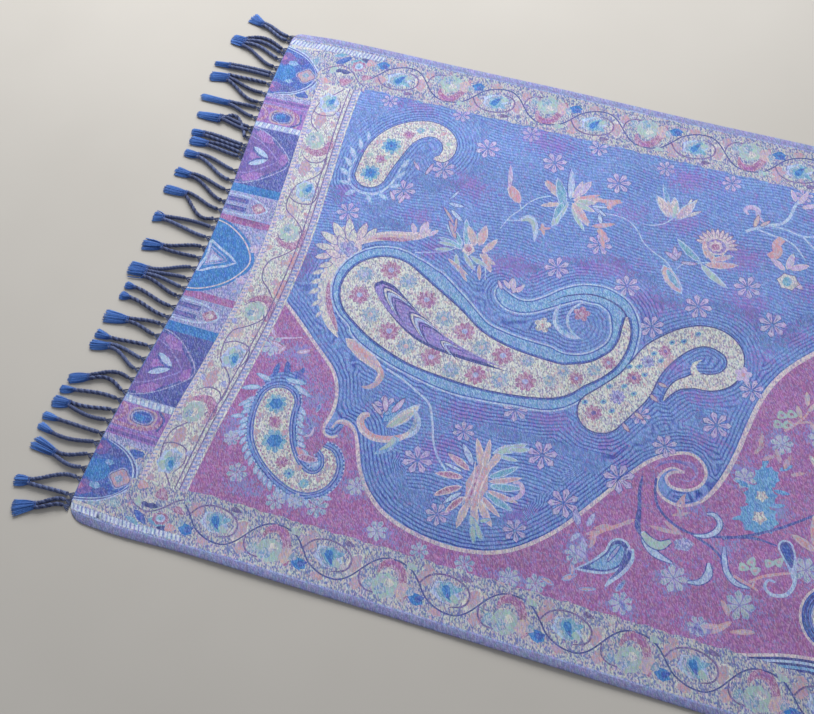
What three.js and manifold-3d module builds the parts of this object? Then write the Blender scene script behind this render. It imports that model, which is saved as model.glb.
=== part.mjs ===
// A jacquard-woven pashmina shawl with twisted, knotted fringes, laid out flat.
// Millimetres. +X runs along the shawl, +Y across it and +Z up. The origin is under the middle of
// the shawl, on the surface that it lies on. Turned half a turn about +Z, the outline is the same.
import * as THREE from "three";
import { mergeVertices } from "three/addons/utils/BufferGeometryUtils.js";
import Module from "manifold-3d";

const wasm = await Module();
wasm.setup();

// The woven cloth
const LENGTH = 1800; // from hem to hem, where the hem crosses its mean line
const WIDTH = 700; // from selvedge to selvedge
const WALL = 1.5; // thickness of the cloth
const HEM_MEAN = 2; // mean inset of the hem
const HEM_BOW = 8; // how far the hem bows inwards and outwards of its mean
const HEM_BOW_HALF = 300; // distance across the shawl from the crest of the bow to its trough
const CORNER_WIDE = 22; // radius of the softer pair of corners
const CORNER_TIGHT = 10; // radius of the other pair
const SIDE_DRAW = 5; // how far the selvedge is drawn in at the tighter corners
const SIDE_DRAW_REACH = 60; // how far along the selvedge that draw fades
const SIDE_BULGE = 3; // how far the selvedge stands out beyond the wider corners
const SIDE_BULGE_AT = 55; // where along the selvedge it stands out most
const SIDE_BULGE_REACH = 50;
const SELVEDGE_RISE = 2.2; // how far the selvedges stand off the surface
const SELVEDGE_REACH = 26; // width of the strip that rises with them
const SELVEDGE_WAVE = 310; // length of one rise and fall along the selvedge
const SELVEDGE_SWAY = 0.28; // how much the rise comes and goes, as a share of it

// Grid of the cloth wall
const COLUMNS = 54;
const ROWS_INSIDE = 15;
const ROWS_CORNER = 3; // rows through the corner's arc, at each selvedge

// Soft swells where the cloth stands off the surface. x and y are the middle, turn is the angle of
// the crest from +X in degrees, long and wide are half the footprint, and rise is the height.
const SWELLS = [
  { x: -842, y: 96, turn: 24, long: 105, wide: 34, rise: 1.6 },
  { x: -818, y: -196, turn: -18, long: 120, wide: 36, rise: 1.9 },
  { x: -640, y: 214, turn: 8, long: 170, wide: 52, rise: 2.6 },
  { x: -560, y: -208, turn: -12, long: 190, wide: 56, rise: 2.9 },
  { x: -352, y: 82, turn: 16, long: 180, wide: 60, rise: 3.0 },
  { x: -232, y: -214, turn: -4, long: 165, wide: 50, rise: 2.4 },
];

// The fringe
const SEAM = 0.3; // gap between the hem and the fringe's heading
const HEADING = 3; // width of the heading that the cords leave
const HEADING_HIGH = 2.4;
const HEADING_STEPS = 20;
const HEADING_INSET = 9; // the heading stops this far short of each selvedge
const CLEAR = 0.3; // height of the cords above the surface
const CORD_HALF = 1.5; // half the thickness of a cord
const TUFT_HALF = 2; // half the thickness of a tuft
const CORD_STEPS = 4;
const TUFT_LAP = 4; // how far a tuft reaches back over its cords
const KNOT_SHARE = 0.3; // width of a tuft at its knot, as a share of its fan
const SPREAD_AT = 0.35; // where the tuft has spread to SPREAD_SHARE, from knot to tip
const SPREAD_SHARE = 0.6;

// One row for each tuft. u runs along the shawl from its mean hem and v across it, both from the
// shawl's own end and middle. tip is the middle of the tuft's end, neck the knot, fan the width of
// the end, and cords holds each cord's v at the hem and how far it bows sideways.
const TUFTS = [
  { tip: [-69, 354], neck: [-50, 346], fan: 16, cords: [[336, 0], [329, 0]] },
  { tip: [-80, 313], neck: [-62, 311], fan: 14, cords: [[314, 8], [308, 6], [297, 5], [283, 0]] },
  { tip: [-86, 268], neck: [-66, 269], fan: 6, cords: [[272, 1], [267, 1]] },
  { tip: [-84, 247], neck: [-60, 250], fan: 14, cords: [[255, 0], [239, -2], [224, -4]] },
  { tip: [-82, 213], neck: [-44, 212], fan: 9, cords: [[215, 0], [200, 0]] },
  { tip: [-76, 185], neck: [-46, 186], fan: 8, cords: [[184, 0], [179, -1], [168, 19]] },
  { tip: [-72, 158], neck: [-56, 158], fan: 8, cords: [[156, 1], [151, 0]] },
  { tip: [-69, 145], neck: [-46, 145], fan: 12, cords: [[144, 2], [138, 0]] },
  { tip: [-68, 126], neck: [-50, 125], fan: 10, cords: [[117, 2], [102, 0]] },
  { tip: [-68, 97], neck: [-48, 95], fan: 12, cords: [[87, 2], [71, 2]] },
  { tip: [-71, 69], neck: [-42, 68], fan: 11, cords: [[58, 0], [44, -9]] },
  { tip: [-67, 28], neck: [-54, 28], fan: 15, cords: [[32, 2], [17, 0]] },
  { tip: [-64, -12], neck: [-40, -10], fan: 17, cords: [[3, 0], [-12, -1]] },
  { tip: [-66, -49], neck: [-44, -48], fan: 20, cords: [[-27, -2], [-42, 0], [-55, 2], [-67, 1]] },
  { tip: [-60, -70], neck: [-48, -71], fan: 9, cords: [[-82, 0]] },
  { tip: [-60, -84], neck: [-48, -85], fan: 10, cords: [[-96, 0]] },
  { tip: [-67, -115], neck: [-38, -113], fan: 16, cords: [[-107, 1], [-122, 2]] },
  { tip: [-66, -138], neck: [-48, -140], fan: 10, cords: [[-137, 0]] },
  { tip: [-66, -154], neck: [-44, -150], fan: 12, cords: [[-154, 2], [-168, 3]] },
  { tip: [-71, -201], neck: [-50, -193], fan: 11, cords: [[-181, 6], [-197, 8]] },
  { tip: [-74, -215], neck: [-58, -212], fan: 8, cords: [[-208, 2]] },
  { tip: [-76, -230], neck: [-56, -229], fan: 14, cords: [[-222, -2], [-235, -3]] },
  { tip: [-78, -249], neck: [-60, -250], fan: 8, cords: [[-251, 0]] },
  { tip: [-77, -261], neck: [-60, -266], fan: 8, cords: [[-263, -3]] },
  { tip: [-75, -281], neck: [-46, -287], fan: 15, cords: [[-278, -3], [-294, -3]] },
  { tip: [-74, -328], neck: [-58, -325], fan: 12, cords: [[-306, 3], [-326, 0]] },
  { tip: [-62, -358], neck: [-40, -348], fan: 18, cords: [[-333, 2], [-339, 1]] },
];

const CLOTH = new THREE.MeshStandardMaterial({ color: 0x6f74c4, roughness: 0.85, metalness: 0 });
const YARN = new THREE.MeshStandardMaterial({ color: 0x27409a, roughness: 0.8, metalness: 0 });

// How far the hem lies inside its mean line at v, bow alone.
function hemBow(v) {
  return HEM_MEAN + HEM_BOW * Math.cos((Math.PI * v) / HEM_BOW_HALF);
}

// How far a corner of this radius pulls the end of a row inwards.
function cornerInset(v, radius) {
  const into = Math.max(0, v - (WIDTH / 2 - radius));
  return radius - Math.sqrt(Math.max(0, radius * radius - into * into));
}

// Inset of the left hem at v, with its wide corner at -v and its tight corner at +v.
function hemInset(v) {
  return hemBow(v) + cornerInset(-v, CORNER_WIDE) + cornerInset(v, CORNER_TIGHT);
}

// How far the selvedge at +v moves inwards at a distance u from the left end and w from the right.
function selvedgeInset(u, w) {
  const draw = SIDE_DRAW * Math.exp(-Math.max(0, u) / SIDE_DRAW_REACH);
  const off = (w - SIDE_BULGE_AT) / SIDE_BULGE_REACH;
  return draw - SIDE_BULGE * Math.exp(-off * off);
}

// Height of the cloth's underside: nothing where it rests, and smooth where it stands off.
function lift(x, y) {
  let high = 0;
  for (const side of [-1, 1])
    for (const s of SWELLS) {
      const turn = THREE.MathUtils.degToRad(s.turn);
      const dx = x * side - s.x;
      const dy = y * side - s.y;
      const along = (dx * Math.cos(turn) + dy * Math.sin(turn)) / s.long;
      const across = (dy * Math.cos(turn) - dx * Math.sin(turn)) / s.wide;
      const left = Math.max(0, 1 - along * along - across * across);
      high += s.rise * left * left;
    }
  const near = Math.max(0, 1 - (WIDTH / 2 - Math.abs(y)) / SELVEDGE_REACH);
  const phase = (2 * Math.PI * x * Math.sign(y)) / SELVEDGE_WAVE;
  const wave = 1 - SELVEDGE_SWAY * (1 - Math.sin(phase));
  const fromHem = THREE.MathUtils.smoothstep(LENGTH / 2 - Math.abs(x), 0, SIDE_DRAW_REACH);
  return high + SELVEDGE_RISE * wave * fromHem * near * near * (3 - 2 * near);
}

// Where the rows run, from the near selvedge to the far one: close together through the corners.
function rowLines() {
  const inside = WIDTH / 2 - CORNER_WIDE;
  const rows = [];
  for (let k = 0; k < ROWS_CORNER; k++) {
    const angle = ((k / ROWS_CORNER) * Math.PI) / 2;
    rows.push(-(inside + CORNER_WIDE * Math.cos(angle)));
  }
  for (let k = 0; k <= ROWS_INSIDE; k++) rows.push(-inside + (2 * inside * k) / ROWS_INSIDE);
  for (let k = ROWS_CORNER - 1; k >= 0; k--) rows.push(-rows[k]);
  return rows;
}

// The plan position of the point a share `part` of the way along the row v.
function rowPoint(v, part) {
  const left = -LENGTH / 2 + hemInset(v);
  const right = LENGTH / 2 - hemInset(-v);
  const x = left + (right - left) * part;
  const u = x + LENGTH / 2;
  const w = LENGTH / 2 - x;
  const share = v / (WIDTH / 2);
  const inset = share > 0 ? selvedgeInset(u, w) : selvedgeInset(w, u);
  return [x, v - share * inset];
}

// The cloth: an upper and a lower grid one wall apart, closed by a rim all round.
function wovenPanel() {
  const rows = rowLines();
  const across = COLUMNS + 1;
  const layer = rows.length * across;
  const points = [];
  for (const base of [0, WALL])
    for (const v of rows)
      for (let i = 0; i < across; i++) {
        const [x, y] = rowPoint(v, i / COLUMNS);
        points.push(x, y, lift(x, y) + base);
      }
  const faces = [];
  const quad = (a, b, c, d) => faces.push(a, b, c, a, c, d);
  for (let j = 0; j + 1 < rows.length; j++)
    for (let i = 0; i < COLUMNS; i++) {
      const a = j * across + i;
      quad(a, a + across, a + across + 1, a + 1);
      quad(layer + a, layer + a + 1, layer + a + across + 1, layer + a + across);
    }
  const rim = [];
  for (let i = 0; i < COLUMNS; i++) rim.push(i);
  for (let j = 0; j + 1 < rows.length; j++) rim.push(j * across + COLUMNS);
  for (let i = COLUMNS; i > 0; i--) rim.push(layer - across + i);
  for (let j = rows.length - 1; j > 0; j--) rim.push(j * across);
  rim.forEach((a, k) => {
    const b = rim[(k + 1) % rim.length];
    quad(a, b, layer + b, layer + a);
  });
  const geometry = new THREE.BufferGeometry();
  geometry.setAttribute("position", new THREE.Float32BufferAttribute(points, 3));
  geometry.setIndex(faces);
  geometry.computeVertexNormals();
  return geometry;
}

// A four-sided strand that lies just above the surface. Each section has its plan position and its
// half width and half thickness, and its corners are at its two sides, its top and its bottom.
function strand(sections) {
  const points = [];
  sections.forEach((s, k) => {
    const before = sections[Math.max(0, k - 1)];
    const after = sections[Math.min(sections.length - 1, k + 1)];
    const run = new THREE.Vector2(after.x - before.x, after.y - before.y).normalize();
    const z = CLEAR + s.thick;
    points.push(s.x - run.y * s.wide, s.y + run.x * s.wide, z);
    points.push(s.x, s.y, z - s.thick);
    points.push(s.x + run.y * s.wide, s.y - run.x * s.wide, z);
    points.push(s.x, s.y, z + s.thick);
  });
  const faces = [0, 1, 2, 0, 2, 3];
  for (let k = 0; k + 1 < sections.length; k++)
    for (let c = 0; c < 4; c++) {
      const a = 4 * k + c;
      const b = 4 * k + ((c + 1) % 4);
      faces.push(a, b + 4, b, a, a + 4, b + 4);
    }
  const end = 4 * (sections.length - 1);
  faces.push(end, end + 2, end + 1, end, end + 3, end + 2);
  const geometry = new THREE.BufferGeometry();
  geometry.setAttribute("position", new THREE.Float32BufferAttribute(points, 3));
  geometry.setIndex(faces);
  return geometry;
}

// A cord from the heading to the knot: it leaves the hem square, then sways to the knot.
function cord(root, bow, neck) {
  const start = -LENGTH / 2 + hemBow(root) - SEAM - HEADING / 2;
  const end = -LENGTH / 2 + neck[0];
  const sections = [];
  for (let k = 0; k <= CORD_STEPS; k++) {
    const part = k / CORD_STEPS;
    const sway = THREE.MathUtils.smoothstep(part, 0, 1);
    const y = root + (neck[1] - root) * sway + bow * Math.sin(Math.PI * part);
    sections.push({ x: start + (end - start) * part, y, wide: CORD_HALF, thick: CORD_HALF });
  }
  return strand(sections);
}

// The loose ends beyond the knot, fanned out towards the tip.
function tuft({ tip, neck, fan }) {
  const run = new THREE.Vector2(tip[0] - neck[0], tip[1] - neck[1]);
  const reach = run.length();
  const at = (distance, share, thick) => ({
    x: -LENGTH / 2 + neck[0] + (run.x * distance) / reach,
    y: neck[1] + (run.y * distance) / reach,
    wide: (fan / 2) * share,
    thick,
  });
  return strand([
    at(-TUFT_LAP, KNOT_SHARE, TUFT_HALF),
    at(reach * SPREAD_AT, SPREAD_SHARE, TUFT_HALF),
    at(reach, 1, CORD_HALF),
  ]);
}

// The heading: a narrow strip just outside the hem, which the cords leave.
function heading() {
  const inner = [];
  const outer = [];
  const half = WIDTH / 2 - HEADING_INSET;
  for (let k = 0; k <= HEADING_STEPS; k++) {
    const v = -half + (2 * half * k) / HEADING_STEPS;
    const x = -LENGTH / 2 + hemBow(v) - SEAM;
    inner.push(new THREE.Vector2(x, v));
    outer.push(new THREE.Vector2(x - HEADING, v));
  }
  const shape = new THREE.Shape([...inner, ...outer.reverse()]);
  return new THREE.ExtrudeGeometry(shape, { depth: HEADING_HIGH, bevelEnabled: false });
}

// A closed mesh as a solid that can be joined to others.
function solidOf(geometry) {
  geometry.deleteAttribute("normal");
  geometry.deleteAttribute("uv");
  const merged = mergeVertices(geometry);
  return new wasm.Manifold(
    new wasm.Mesh({
      numProp: 3,
      vertProperties: merged.attributes.position.array,
      triVerts: new Uint32Array(merged.index.array),
    }),
  );
}

// A joined solid as a geometry.
function geometryOf(solid) {
  const mesh = solid.getMesh();
  const geometry = new THREE.BufferGeometry();
  geometry.setAttribute("position", new THREE.BufferAttribute(mesh.vertProperties, 3));
  geometry.setIndex(new THREE.BufferAttribute(mesh.triVerts, 1));
  geometry.computeVertexNormals();
  return geometry;
}

// The fringe of the left end: cords and tufts joined to their heading.
function fringe() {
  let joined = solidOf(heading());
  for (const row of TUFTS) {
    joined = joined.add(solidOf(tuft(row)));
    for (const [root, bow] of row.cords) joined = joined.add(solidOf(cord(root, bow, row.neck)));
  }
  return geometryOf(joined);
}

function piece(name, geometry, material) {
  const mesh = new THREE.Mesh(geometry, material);
  mesh.name = name;
  return mesh;
}

const shawl = new THREE.Group();
const knotted = fringe();
const far = piece("fringe_right", knotted, YARN);
far.rotation.z = Math.PI;
shawl.add(piece("woven_panel", wovenPanel(), CLOTH));
shawl.add(piece("fringe_left", knotted, YARN));
shawl.add(far);

export default shawl;
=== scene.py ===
import math

import bpy
import numpy as np
from mathutils import Matrix, Vector
from mathutils.geometry import delaunay_2d_cdt
from mathutils.kdtree import KDTree


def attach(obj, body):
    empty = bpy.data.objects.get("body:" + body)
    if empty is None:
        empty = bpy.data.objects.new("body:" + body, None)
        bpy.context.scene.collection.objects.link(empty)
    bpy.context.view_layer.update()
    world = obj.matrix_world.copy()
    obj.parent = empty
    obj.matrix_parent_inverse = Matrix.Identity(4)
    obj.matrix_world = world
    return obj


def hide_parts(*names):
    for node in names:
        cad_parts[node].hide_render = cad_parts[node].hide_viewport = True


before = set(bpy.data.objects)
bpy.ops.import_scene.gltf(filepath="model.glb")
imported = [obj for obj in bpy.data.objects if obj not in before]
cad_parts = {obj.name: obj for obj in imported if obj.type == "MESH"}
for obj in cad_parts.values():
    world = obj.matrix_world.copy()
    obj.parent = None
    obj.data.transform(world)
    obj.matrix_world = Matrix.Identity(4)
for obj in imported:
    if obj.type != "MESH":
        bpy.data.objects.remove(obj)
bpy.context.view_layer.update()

MM = 0.001


# The camera: a hand-held view from the shawl's near left, looking down over the paisley end with
# its fringe. Its height, aim and lean were fitted to the photographed borders and selvedges.
IMAGE_WIDE = 814
SENSOR = 36.0
FOCAL_PIXELS = 1236.6
LOOK_DOWN = math.radians(61.63)
LEAN = math.radians(-3.51)
HEADING = math.radians(-20.97)
AIM = Vector((-0.6210, -0.0650, 0.0))
DISTANCE = 1.3687

ahead = Vector((math.sin(HEADING), math.cos(HEADING), 0))
across = Vector((math.cos(HEADING), -math.sin(HEADING), 0))
sight = ahead * math.cos(LOOK_DOWN) - Vector((0, 0, 1)) * math.sin(LOOK_DOWN)
upward = ahead * math.sin(LOOK_DOWN) + Vector((0, 0, 1)) * math.cos(LOOK_DOWN)
right_way = math.cos(LEAN) * across + math.sin(LEAN) * upward
up_way = -math.sin(LEAN) * across + math.cos(LEAN) * upward
lens = bpy.data.cameras.new("view")
lens.sensor_width = SENSOR
lens.lens = SENSOR * FOCAL_PIXELS / IMAGE_WIDE
lens.clip_start = 0.05
lens.clip_end = 50


def set_out(name, data):
    """A new object in the scene, standing at the origin."""
    made = bpy.data.objects.new(name, data)
    bpy.context.scene.collection.objects.link(made)
    return made


camera = set_out("view", lens)
turned = Matrix((right_way, up_way, -sight)).transposed().to_4x4()
camera.matrix_world = Matrix.Translation(AIM - sight * DISTANCE) @ turned
bpy.context.scene.camera = camera


# The woven panel: one length of fine pashmina twill, 1.8 m by 0.7 m, cut at the hems and closed
# by its selvedges. It lies flat with a bowed hem, soft corners and a few low swells.
LONG = 1800.0
HALF = 350.0
WALL = 1.5
HEM_MEAN = 2.0
HEM_BOW = 8.0
HEM_BOW_HALF = 300.0
HEM_STEP = 6.4
CORNER_WIDE = 22.0
CORNER_TIGHT = 10.0
SIDE_DRAW = 5.0
SIDE_DRAW_REACH = 60.0
SIDE_BULGE = 3.0
SIDE_BULGE_AT = 55.0
SIDE_BULGE_REACH = 50.0
SELVEDGE_RISE = 2.2
SELVEDGE_REACH = 26.0
SELVEDGE_WAVE = 310.0
SELVEDGE_SWAY = 0.28
# middle x and y, turn of the crest, half length, half width and rise
SWELLS = [
    (-842, 96, 24, 105, 34, 1.6),
    (-818, -196, -18, 120, 36, 1.9),
    (-640, 214, 8, 170, 52, 2.6),
    (-560, -208, -12, 190, 56, 2.9),
    (-352, 82, 16, 180, 60, 3.0),
    (-232, -214, -4, 165, 50, 2.4),
]


def hem_bow(v):
    return HEM_MEAN + HEM_BOW * np.cos(math.pi * v / HEM_BOW_HALF)


def corner_inset(v, radius):
    into = np.clip(v - (HALF - radius), 0, radius)
    return radius - np.sqrt(radius * radius - into * into)


def smooth(t):
    t = np.clip(t, 0, 1)
    return t * t * (3 - 2 * t)


def selvedge_inset(u, w):
    draw = SIDE_DRAW * np.exp(-np.maximum(0, u) / SIDE_DRAW_REACH)
    return draw - SIDE_BULGE * np.exp(-((w - SIDE_BULGE_AT) / SIDE_BULGE_REACH) ** 2)


def lift(x, y):
    """Height of the cloth's underside above the floor."""
    high = np.zeros_like(x)
    for side in (-1, 1):
        for at_x, at_y, turn, long, wide, rise in SWELLS:
            c, s = math.cos(math.radians(turn)), math.sin(math.radians(turn))
            dx, dy = x * side - at_x, y * side - at_y
            along = (dx * c + dy * s) / long
            over = (dy * c - dx * s) / wide
            high += rise * np.maximum(0, 1 - along ** 2 - over ** 2) ** 2
    near = smooth(1 - (HALF - np.abs(y)) / SELVEDGE_REACH)
    phase = 2 * math.pi * x * np.sign(y) / SELVEDGE_WAVE
    wave = 1 - SELVEDGE_SWAY * (1 - np.sin(phase))
    from_hem = smooth((LONG / 2 - np.abs(x)) / SIDE_DRAW_REACH)
    return high + SELVEDGE_RISE * wave * from_hem * near


def on_cloth(points):
    """Flat pattern places (u from the left hem, v from the middle) as x and y on the laid cloth."""
    u, v = points[:, 0], points[:, 1]
    share = v / HALF
    pulled = np.where(share > 0, selvedge_inset(u, LONG - u), selvedge_inset(LONG - u, u))
    return u - LONG / 2, v - share * pulled


def outline():
    """The cut edge, round from the near left corner, as flat pattern places."""
    def hem(v):
        return hem_bow(v) + corner_inset(-v, CORNER_WIDE) + corner_inset(v, CORNER_TIGHT)

    # eight steps round the wide corner, then one every HEM_STEP, and five round the tight corner
    rim = [-HALF + CORNER_WIDE * (1 - math.cos(math.pi / 2 * k / 8)) for k in range(9)]
    rim += [-HALF + CORNER_WIDE + HEM_STEP * k for k in range(1, 104)]
    rim += [HALF - CORNER_TIGHT * (1 - math.cos(math.pi / 2 * k / 5)) for k in range(5, -1, -1)]
    rim = np.array(rim)
    left = np.column_stack([hem(rim), rim])
    right = np.column_stack([LONG - left[:, 0], -left[:, 1]])
    far_u = np.linspace(left[-1, 0], right[0, 0], 171)[1:-1]
    far = np.column_stack([far_u, np.full(far_u.shape, HALF)])
    near = np.column_stack([LONG - far_u, np.full(far_u.shape, -HALF)])
    return np.vstack([left, far, right, near])


# The jacquard pattern: dyed wool in some thirty mixes of two yarns, woven in with the cloth itself.
# Every motif is a closed area of one mix, laid over those before it, in flat millimetres: u from the
# left hem and v across from the middle.

# each mix is the two yarns that show and how much of the second one
MIXES = {
    "selvedge": ("#7e83b4", "#9499c6", 0.42),
    "linen": ("#c2c5ca", "#747fb4", 0.50),
    "cream": ("#d4d9d8", "#9495b4", 0.40),
    "line": ("#d6ccd4", "#a9a0c2", 0.35),
    "white": ("#b9cbe8", "#93a6da", 0.35),
    "pale": ("#d3d3d2", "#a4a8c4", 0.35),
    "dark": ("#4b5290", "#6d76ae", 0.35),
    "plum": ("#6f6699", "#9388b5", 0.35),
    "blue": ("#6f8fcf", "#8ba8e0", 0.42),
    "royal": ("#4c6ab8", "#6f8aca", 0.40),
    "indigo": ("#515ca4", "#7a84c0", 0.34),
    "azure": ("#4278c0", "#6496d4", 0.32),
    "bright": ("#6090cc", "#88b4e0", 0.38),
    "cyan": ("#6c97cd", "#9bb9e0", 0.42),
    "teal": ("#6b9dc2", "#94b7d2", 0.42),
    "slate": ("#7d9bc2", "#b5bcce", 0.42),
    "mint": ("#a4bfbd", "#a6b5c9", 0.45),
    "haze": ("#939bd0", "#b3bae0", 0.40),
    "mist": ("#a3aedb", "#7f8cc4", 0.38),
    "lavender": ("#8087c0", "#b3b6dc", 0.42),
    "violet": ("#8a7fc2", "#a59cd6", 0.42),
    "grape": ("#6a66aa", "#8f86c0", 0.36),
    "magenta": ("#9768a2", "#b288ba", 0.42),
    "orchid": ("#6c60a6", "#8878b8", 0.42),
    "lilac": ("#8f6cb6", "#a78cca", 0.42),
    "blush": ("#bf9fae", "#a9a5c4", 0.45),
    "hem": ("#5067a8", "#6a80be", 0.40),
    "snow": ("#d3deec", "#b4c2dc", 0.35),
    "petal": ("#c2bbdf", "#a8a0d2", 0.45),
    "rose": ("#9a719d", "#bda6c2", 0.42),
    "pink": ("#b3a6d2", "#c6bce0", 0.45),
    "coral": ("#c799a5", "#b9aecb", 0.42),
    "peach": ("#cab4b6", "#b0a9c8", 0.45),
}

# areas run this far past the hems and past the selvedges, where the rim cuts them off
OVERRUN = 12
PAST_SIDE = 9
painted = []


def paint(points, mix):
    painted.append((points, mix))


def curve(points, steps=5):
    """A smooth curve through a few points, each a tuple of any length."""
    first = [2 * b - c for b, c in zip(points[0], points[1])]
    last = [2 * b - c for b, c in zip(points[-1], points[-2])]
    held = [first, *points, last]
    out = []
    for a, b, c, d in zip(held, held[1:], held[2:], held[3:]):
        for i in range(steps):
            t = i / steps
            out.append(tuple(
                0.5 * (2 * q + (r - p) * t + (2 * p - 5 * q + 4 * r - s) * t * t
                       + (3 * q - p - 3 * r + s) * t ** 3)
                for p, q, r, s in zip(a, b, c, d)))
    return out + [tuple(points[-1])]


def placed(points, at, turn=0.0, size=1.0):
    """Points drawn about the origin, made larger, turned by degrees and moved to their place."""
    c, s = size * math.cos(math.radians(turn)), size * math.sin(math.radians(turn))
    return [(at[0] + c * x - s * y, at[1] + s * x + c * y) for x, y in points]


def sides_of(line):
    """The two edges of a curve whose points carry a half width."""
    left, right = [], []
    for k, (u, v, half) in enumerate(line):
        a, b = line[max(0, k - 1)], line[min(len(line) - 1, k + 1)]
        du, dv = b[0] - a[0], b[1] - a[1]
        run = math.hypot(du, dv) or 1.0
        left.append((u - dv / run * half, v + du / run * half))
        right.append((u + dv / run * half, v - du / run * half))
    return left, right


def with_halves(path, half, less=0.0, least=0.2):
    """A path with a half width at each point, drawn in by less."""
    halves = half if isinstance(half, (list, tuple)) else [half] * len(path)
    return [(u, v, max(h - less, least)) for (u, v), h in zip(path, halves)]


def band(path, half, mix, steps=4):
    """A band along a smooth path: half is its half width, one number or one for each point."""
    left, right = sides_of(curve(with_halves(path, half), steps))
    paint(left + right[::-1], mix)


def round_end(at, ahead, reach, steps):
    """The half circle that closes a band behind its first point."""
    back = math.atan2(at[1] - ahead[1], at[0] - ahead[0])
    turns = [back + math.pi * (k / steps - 0.5) for k in range(1, steps)]
    return [(at[0] + reach * math.cos(turn), at[1] + reach * math.sin(turn)) for turn in turns]


def comma(path, half, mix, less=0.0):
    """A band with one round end, such as a paisley, drawn in all round by less."""
    line = curve(with_halves(path, half, less), 4)
    left, right = sides_of(line)
    paint(left[::-1] + round_end(line[0], line[1], line[0][2], 14) + right, mix)


def oval(at, long, wide=None, turn=0.0, sides=12, lobes=0, depth=0.0, start=0.0):
    """A round of so many corners, with lobes of some depth if it is a flower."""
    wide = long if wide is None else wide
    out = []
    for k in range(sides):
        a = 2 * math.pi * k / sides
        r = 1 + depth * math.cos(lobes * (a - math.radians(start)))
        out.append((long * r * math.cos(a), wide * r * math.sin(a)))
    return placed(out, at, turn)


def leaf_form(long, wide, belly=0.45, bend=0.0, steps=4):
    """A pointed leaf along the first axis, widest at belly of its length."""
    up, down = [], []
    power = math.log(0.5) / math.log(belly)
    for k in range(steps + 1):
        t = 0.5 - 0.5 * math.cos(math.pi * k / steps)
        half = wide / 2 * max(0.0, math.sin(math.pi * t ** power)) ** 0.62
        up.append((long * t, bend * t * t + half))
        down.append((long * t, bend * t * t - half))
    return up + down[-2:0:-1]


def leaf(at, long, wide, turn, mix, rim=None, edge=1.2, belly=0.45, bend=0.0):
    """A pointed leaf or petal from its root, with a rim of another yarn if it has one."""
    paint(placed(leaf_form(long, wide, belly, bend), at, turn), rim or mix)
    if rim and wide > 2.4 * edge:
        inner = leaf_form(long - 3.4 * edge, wide - 2 * edge, belly, bend * 0.8)
        paint(placed([(x + 1.5 * edge, y) for x, y in inner], at, turn), mix)


def petals(rows, mix, rim=None, edge=1.5, bend=0.1):
    """Petals or leaves, each as root u, v, length, width and turn."""
    for u, v, long, wide, turn in rows:
        leaf((u, v), long, wide, turn, mix, rim, edge, bend=long * bend)


def frill(rows, mix="white", rim=None):
    petals(rows, mix, rim, 1.1, 0.12)


def stems(paths, mix="white", half=0.8):
    for path in paths:
        band(path, [half] * (len(path) - 1) + [half * 0.6], mix)


def half_turn(points):
    """The same place on the other half of the shawl."""
    return [(LONG - u, -v) for u, v in points]


def moved(first, place):
    """Puts each point of the areas from the first on through place."""
    painted[first:] = [([place(u, v) for u, v in points], mix) for points, mix in painted[first:]]


def both_sides(draw):
    """Draws one half of a pattern and then its mirror image across the middle."""
    for side in (1, -1):
        first = len(painted)
        draw()
        moved(first, lambda u, v: (u, side * v))


def dots(rows, sides=12, lobes=0, depth=0.0):
    """Rounds, each as u, v, half length, half width, turn and mix."""
    for u, v, long, wide, turn, mix in rows:
        paint(oval((u, v), long, wide, turn, sides, lobes, depth), mix)


def rings(path, reach, rows):
    """A paisley drawn ring on ring, each as how far it is drawn in and its mix."""
    for less, mix in rows:
        comma(path, reach, mix, less)


# The two grounds, blue and magenta, with a pale line between them that rises in a wave and ends in
# a curl. TIP and FOOT are where the curl meets the arc and the rise.
OGEE_LEFT = [(96, -18), (124, -38), (150, -58), (181, -84), (206, -105), (219, -128), (223, -152),
             (220, -172)]
OGEE_CURL = [(220, -172), (223, -180), (231, -183), (238, -179)]
OGEE_ARC = [(229, -172), (232, -163), (241, -160), (252, -166), (262, -184), (272, -207), (288, -229),
            (313, -248), (347, -259), (386, -263), (424, -258), (456, -243), (489, -212), (518, -171),
            (543, -133), (562, -109), (581, -95), (600, -89), (614, -95), (621, -108), (617, -122),
            (604, -131), (589, -131), (582, -123), (587, -115), (599, -111)]
OGEE_RISE = [(599, -111), (586, -110), (576, -120), (574, -134), (584, -146), (603, -149), (622, -138),
             (636, -113), (646, -78), (652, -42), (659, -8), (669, 20), (685, 46), (708, 72), (744, 108),
             (784, 146), (820, 188), (848, 236), (862, 292)]
TIP = 19
FOOT = 7
past = HALF + PAST_SIDE
paint([(-OVERRUN, -past), (LONG + OVERRUN, -past), (LONG + OVERRUN, past), (-OVERRUN, past)], "blue")
side = curve(OGEE_LEFT, 3) + curve(OGEE_CURL, 2) + curve(OGEE_ARC[2:TIP + 1], 3) + curve(OGEE_RISE[FOOT:], 3)
paint(side + [(1700, 292)] + half_turn(side) + [(96, -292)], "magenta")
curl = curve(OGEE_ARC[TIP:], 3) + curve(OGEE_RISE[:FOOT + 1], 3)
paint(curl, "blue")
paint(half_turn(curl), "blue")

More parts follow.
